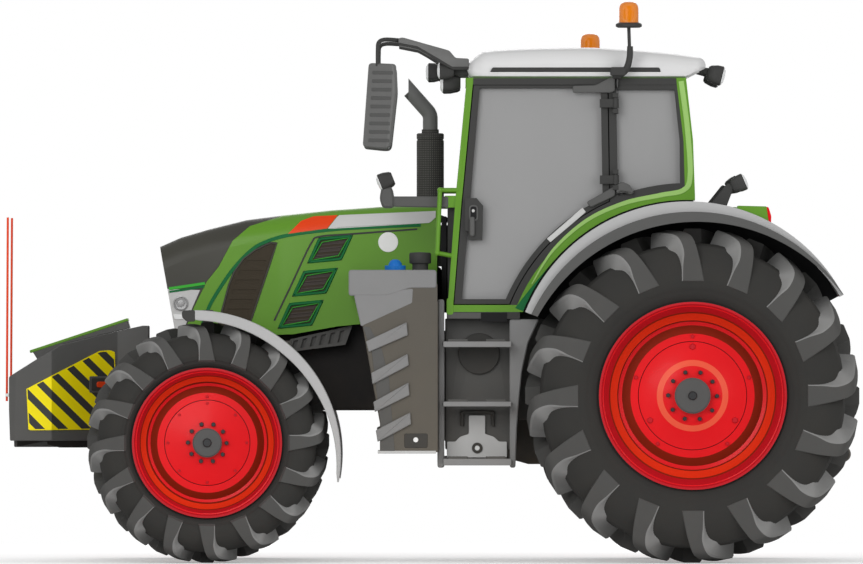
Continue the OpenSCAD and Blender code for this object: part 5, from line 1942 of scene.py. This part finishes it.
@dataclass(frozen=True)
class Ballast:
    """The front ballast with its warning boards, side lamps and marker rods.

    Plan is the flank's line in X and Y, and spread the share by which a depth on its slanting part grows.
    """

    plan: Outline = ((1.632, 0.19), (1.814, 0.205), (2.184, 0.64), (2.391, 0.64), (2.431, 0.6))
    spread: float = 1.5
    rod_y: float = 0.54

    def on_flank(self, side: Side) -> Lay:
        """Lays side view places at a depth on the ballast's bent flank."""
        xs, ys = np.array(self.plan).T
        return laid(side, lambda x, z: np.interp(x, xs, ys), self.spread)

    def rods(self) -> None:
        """The marker rods at the front corners, each on a white foot."""
        draft = Draft("marker_sticks", Look.MARKER, Look.WHITE)
        foot = np.array(box(2.4315, 2.452, 0.97, 0.952))
        for side in Side:
            draft.plate(foot, self.rod_y - 0.018, self.rod_y + 0.018, across(side), 0.002, Look.WHITE)
            y = self.rod_y * side.value
            draft.patch(tube(np.linspace((2.4445, y, 0.926), (2.4385, y, 1.984), 8), 0.0065, 10))
        draft.build("chassis", ("marker_rods",))

    def boards(self) -> None:
        """The striped boards with their side lamps, the green strip on top and the skid below."""
        looks = (Look.HAZARD, Look.YELLOW, Look.LIP, Look.TRIM, Look.FLASH, Look.GREEN, Look.ENGINE)
        draft = Draft("ballast_boards", *looks)
        board = [(2.329, 0.997), (1.9146, 1.2141), (1.8574, 1.2179), (1.83, 1.21), (1.8185, 1.19)]
        board += [(1.8165, 0.7616), (2.312, 0.7588), (2.326, 0.772)]
        frame = box(1.9718, 1.857, 1.0684, 0.973)
        inner = box(1.9603, 1.8685, 1.057, 0.9844)
        lamp = box(1.929, 1.874, 1.037, 1.0036)
        layers = ((frame, 0.012, Look.LIP), (inner, 0.014, Look.TRIM), (lamp, 0.02, Look.FLASH))
        for side in Side:
            lay = self.on_flank(side)
            draft.sheet(board, lay, Look.YELLOW, 0.006)
            draft.sheet(inset(np.array(board), 0.007), lay, Look.HAZARD, 0.007)
            for outline, high, look in layers:
                draft.plate(rounded(outline, 0.01), -0.004, high, lay, 0.002, look)
        cap = rounded([(2.3215, 1.2165), (1.7545, 1.4035), (1.7495, 1.388), (2.3165, 1.201)], 0.004)
        draft.plate(cap, -0.193, 0.193, across(Side.LEFT), 0.003, Look.GREEN)
        skid = [(2.3929, 0.6985), (2.3929, 0.66), (2.2385, 0.69), (2.2195, 0.69), (2.2175, 0.673)]
        skid += [(2.148, 0.655), (1.66, 0.655), (1.66, 0.6985)]
        draft.plate(np.array(skid), -0.175, 0.175, across(Side.LEFT), 0.002, Look.ENGINE)
        draft.build("chassis", ("hazard_boards",), sharp=30)

    def build(self, solids: Solids) -> None:
        """Dresses the ballast and sets its rods and boards.

        Args:
            solids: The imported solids.
        """
        solids.dress("front_ballast", Look.BALLAST, bevel=0.012)
        solids.dress("ballast_trim", Look.BALLAST, bevel=0.004)
        self.rods()
        self.boards()


@dataclass(frozen=True)
class Running:
    """Engine, axles, fenders and hitch, most of them shown as their solids with softened edges.

    The front fender's arc has its own middle, radius and depths, which are given at stops in degrees.
    """

    fender_middle: tuple[float, float] = (1.356, 0.611)
    fender_radius: float = 0.839
    stops: tuple[float, ...] = (85.6, 92, 130, 150, 165, 180, 187, 190)
    depths: tuple[float, ...] = (0.048, 0.058, 0.063, 0.054, 0.04, 0.027, 0.02, 0.008)
    wall_angles: tuple[float, float] = (21.6, 152.3)

    def crescent(self, share: float) -> Array:
        """The front fender's outline: an arc whose depth is full at the top and thins to a tip.

        Args:
            share: Scales the depth.

        Returns:
            The closed outline in X and Z.
        """
        angle = np.linspace(self.stops[0], self.stops[-1], 64)
        depth = np.interp(angle, self.stops, self.depths) * share
        ray = np.stack([np.cos(np.radians(angle)), np.sin(np.radians(angle))], 1)
        under = ray * (self.fender_radius - depth)[:, None]
        return np.concatenate([ray * self.fender_radius, under[::-1]]) + np.array(self.fender_middle)

    def fenders(self, solids: Solids) -> None:
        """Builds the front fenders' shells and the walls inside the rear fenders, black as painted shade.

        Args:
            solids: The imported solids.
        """
        # The walls inside the rear fenders are black as painted shade.
        wall = Draft("fender_walls", Look.RUBBER_SEAL)
        outer, inner = (Cab().arch(radius, *self.wall_angles, 40) for radius in (0.984, 0.79))
        sector = np.concatenate([outer, inner[::-1]])
        cap = [(1.427, 1.4475), (1.352, 1.4525), (1.352, 1.385), (1.4, 1.385), (1.427, 1.41)]
        for side in Side:
            node = f"front_fender_{side.word}"
            shell = Draft(f"{node}_shell", Look.FENDER, Look.TRIM)
            shell.plate(self.crescent(0.3), 0.811, 1.19, across(side), 0.002)
            shell.plate(self.crescent(1.0), 1.186, 1.21, across(side), 0.004)
            shell.plate(rounded(cap, 0.012), 1.1, 1.213, across(side), 0.003, Look.TRIM)
            shell.build(solids.body[node], (node,), sharp=30)
            # A dark sector of painted shade inside the rear fender.
            wall.plate(sector, 0.587, 0.6, across(side), 0.002)
        wall.build("chassis")

    def build(self, solids: Solids) -> None:
        """Dresses the running gear.

        Args:
            solids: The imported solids.
        """
        solids.dress("engine_block", Look.ENGINE, bevel=0.02)
        solids.dress("radiator", Look.ENGINE, bevel=0.01)
        carriers = ("front_frame", "gearbox", "rear_axle", "front_axle", "knuckle_left", "knuckle_right")
        for node in (*carriers, "rear_hitch"):
            solids.dress(node, Look.IRON, bevel=0.006)
        for node in ("lower_links", "lift_arms"):
            solids.dress(node, Look.IRON, bevel=0.003)
        for node in ("steering_rod", "lift_rods"):
            solids.dress(node, Look.STEEL, bevel=0.002)
        solids.dress("rear_fenders", Look.FENDER, bevel=0.005)
        solids.dress("fender_lips", Look.LIP, bevel=0.008)
        self.fenders(solids)


@dataclass(frozen=True)
class Studio:
    """Floor, lights and camera.

    The world lights the tractor with its own strength and shows itself to the camera at full strength. Floor
    half sizes are those of its oval disc, and floor glow is the light that the floor adds for the camera.
    """

    far: float = 110.0
    view_width: float = 4.996
    sensor: float = 36.0
    aim: tuple[float, float, float] = (-0.002, 0.0, 1.612)
    world_light: float = 0.47
    world_seen: float = 0.53
    gloss_seen: float = 0.5
    floor_half: tuple[float, float] = (8.0, 7.0)
    floor_steps: int = 96
    floor_tone: float = 0.94
    floor_glow: float = 0.3

    def area(self, name: str, spot: tuple[float, float, float], size: float, watts: float) -> None:
        """Places a soft square lamp that faces the tractor's middle.

        Args:
            name: The lamp's name.
            spot: Its place.
            size: Length of its side.
            watts: Its power.
        """
        data = bpy.data.lights.new(name, "AREA")
        data.energy = watts
        data.size = size
        made = bpy.data.objects.new(name, data)
        bpy.context.scene.collection.objects.link(made)
        made.location = spot
        made.rotation_euler = (Vector(self.aim) - Vector(spot)).to_track_quat("-Z", "Y").to_euler()

    def world(self) -> None:
        """A pale world: white to the camera and to gloss and glass, softer as a light."""
        world = bpy.data.worlds.new("Studio")
        bpy.context.scene.world = world
        world.use_nodes = True
        wire = Wire(world.node_tree)
        back = world.node_tree.nodes["Background"]
        back.inputs["Color"].default_value = (1, 1, 1, 1)
        rays = wire.node("ShaderNodeLightPath").outputs
        seen = wire.math("MAXIMUM", rays["Is Camera Ray"], rays["Is Transmission Ray"])
        seen = wire.math("MAXIMUM", seen, wire.math("MULTIPLY", rays["Is Glossy Ray"], self.gloss_seen))
        strength = wire.math("ADD", wire.math("MULTIPLY", seen, self.world_seen), self.world_light)
        wire.feed(back.inputs["Strength"], strength)

    def floor(self) -> None:
        """A pale floor with a soft shadow under the tractor."""
        count = self.floor_steps
        data = bpy.data.meshes.new("floor")
        angle = np.linspace(0, math.tau, count, endpoint=False)
        wide, deep = self.floor_half
        rim = np.stack([wide * np.cos(angle), deep * np.sin(angle), np.zeros(count)], 1)
        data.from_pydata(rim.tolist(), [], [tuple(range(count))])
        made = bpy.data.objects.new("floor", data)
        bpy.context.scene.collection.objects.link(made)
        pale = bpy.data.materials.new("Studio floor")
        pale.use_nodes = True
        shader = pale.node_tree.nodes["Principled BSDF"]
        shader.inputs["Base Color"].default_value = (self.floor_tone, self.floor_tone, self.floor_tone, 1)
        shader.inputs["Roughness"].default_value = 0.9
        shader.inputs["Emission Color"].default_value = (1, 1, 1, 1)
        wire = Wire(pale.node_tree)
        seen = wire.node("ShaderNodeLightPath").outputs["Is Camera Ray"]
        wire.feed(shader.inputs["Emission Strength"], wire.math("MULTIPLY", seen, self.floor_glow))
        data.materials.append(pale)
        made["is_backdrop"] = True

    def camera(self) -> None:
        """A long lens level with the tractor's middle, from its left."""
        data = bpy.data.cameras.new("Camera")
        data.sensor_width = self.sensor
        data.lens = self.sensor * self.far / self.view_width
        data.clip_end = 1000.0
        made = bpy.data.objects.new("Camera", data)
        bpy.context.scene.collection.objects.link(made)
        made.location = (self.aim[0], self.far, self.aim[2])
        made.rotation_euler = (math.pi / 2, 0, math.pi)
        bpy.context.scene.camera = made

    def build(self) -> None:
        """Sets up the studio."""
        bpy.context.scene.view_settings.view_transform = "Standard"
        self.world()
        self.floor()
        self.area("Key", (4.0, 11.0, 5.0), 6.5, 560.0)
        self.area("Fill", (-8.0, 8.0, 4.4), 6.5, 270.0)
        self.area("Back", (0.0, -9.0, 4.8), 6.0, 260.0)
        self.camera()


def main() -> None:
    """Builds the studio and dresses the tractor, then works out its box before and after dressing."""
    logging.basicConfig(level=logging.INFO, format="%(name)s: %(message)s")
    for old in list(bpy.data.objects):
        bpy.data.objects.remove(old)
    solids = Solids()
    Studio().build()
    Running().build(solids)
    build_wheels()
    Bonnet().build(solids)
    Cab().build(solids)
    Roof().build()
    Seat().build()
    Exhaust().build()
    Fittings().build()
    Flanks().build(solids)
    Ballast().build(solids)
    boxes = {"cad": solids.first_box, "visual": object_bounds()}
    json.dumps({k: [list(map(float, p)) for p in v] for k, v in boxes.items()})


if __name__ == "__main__":
    main()
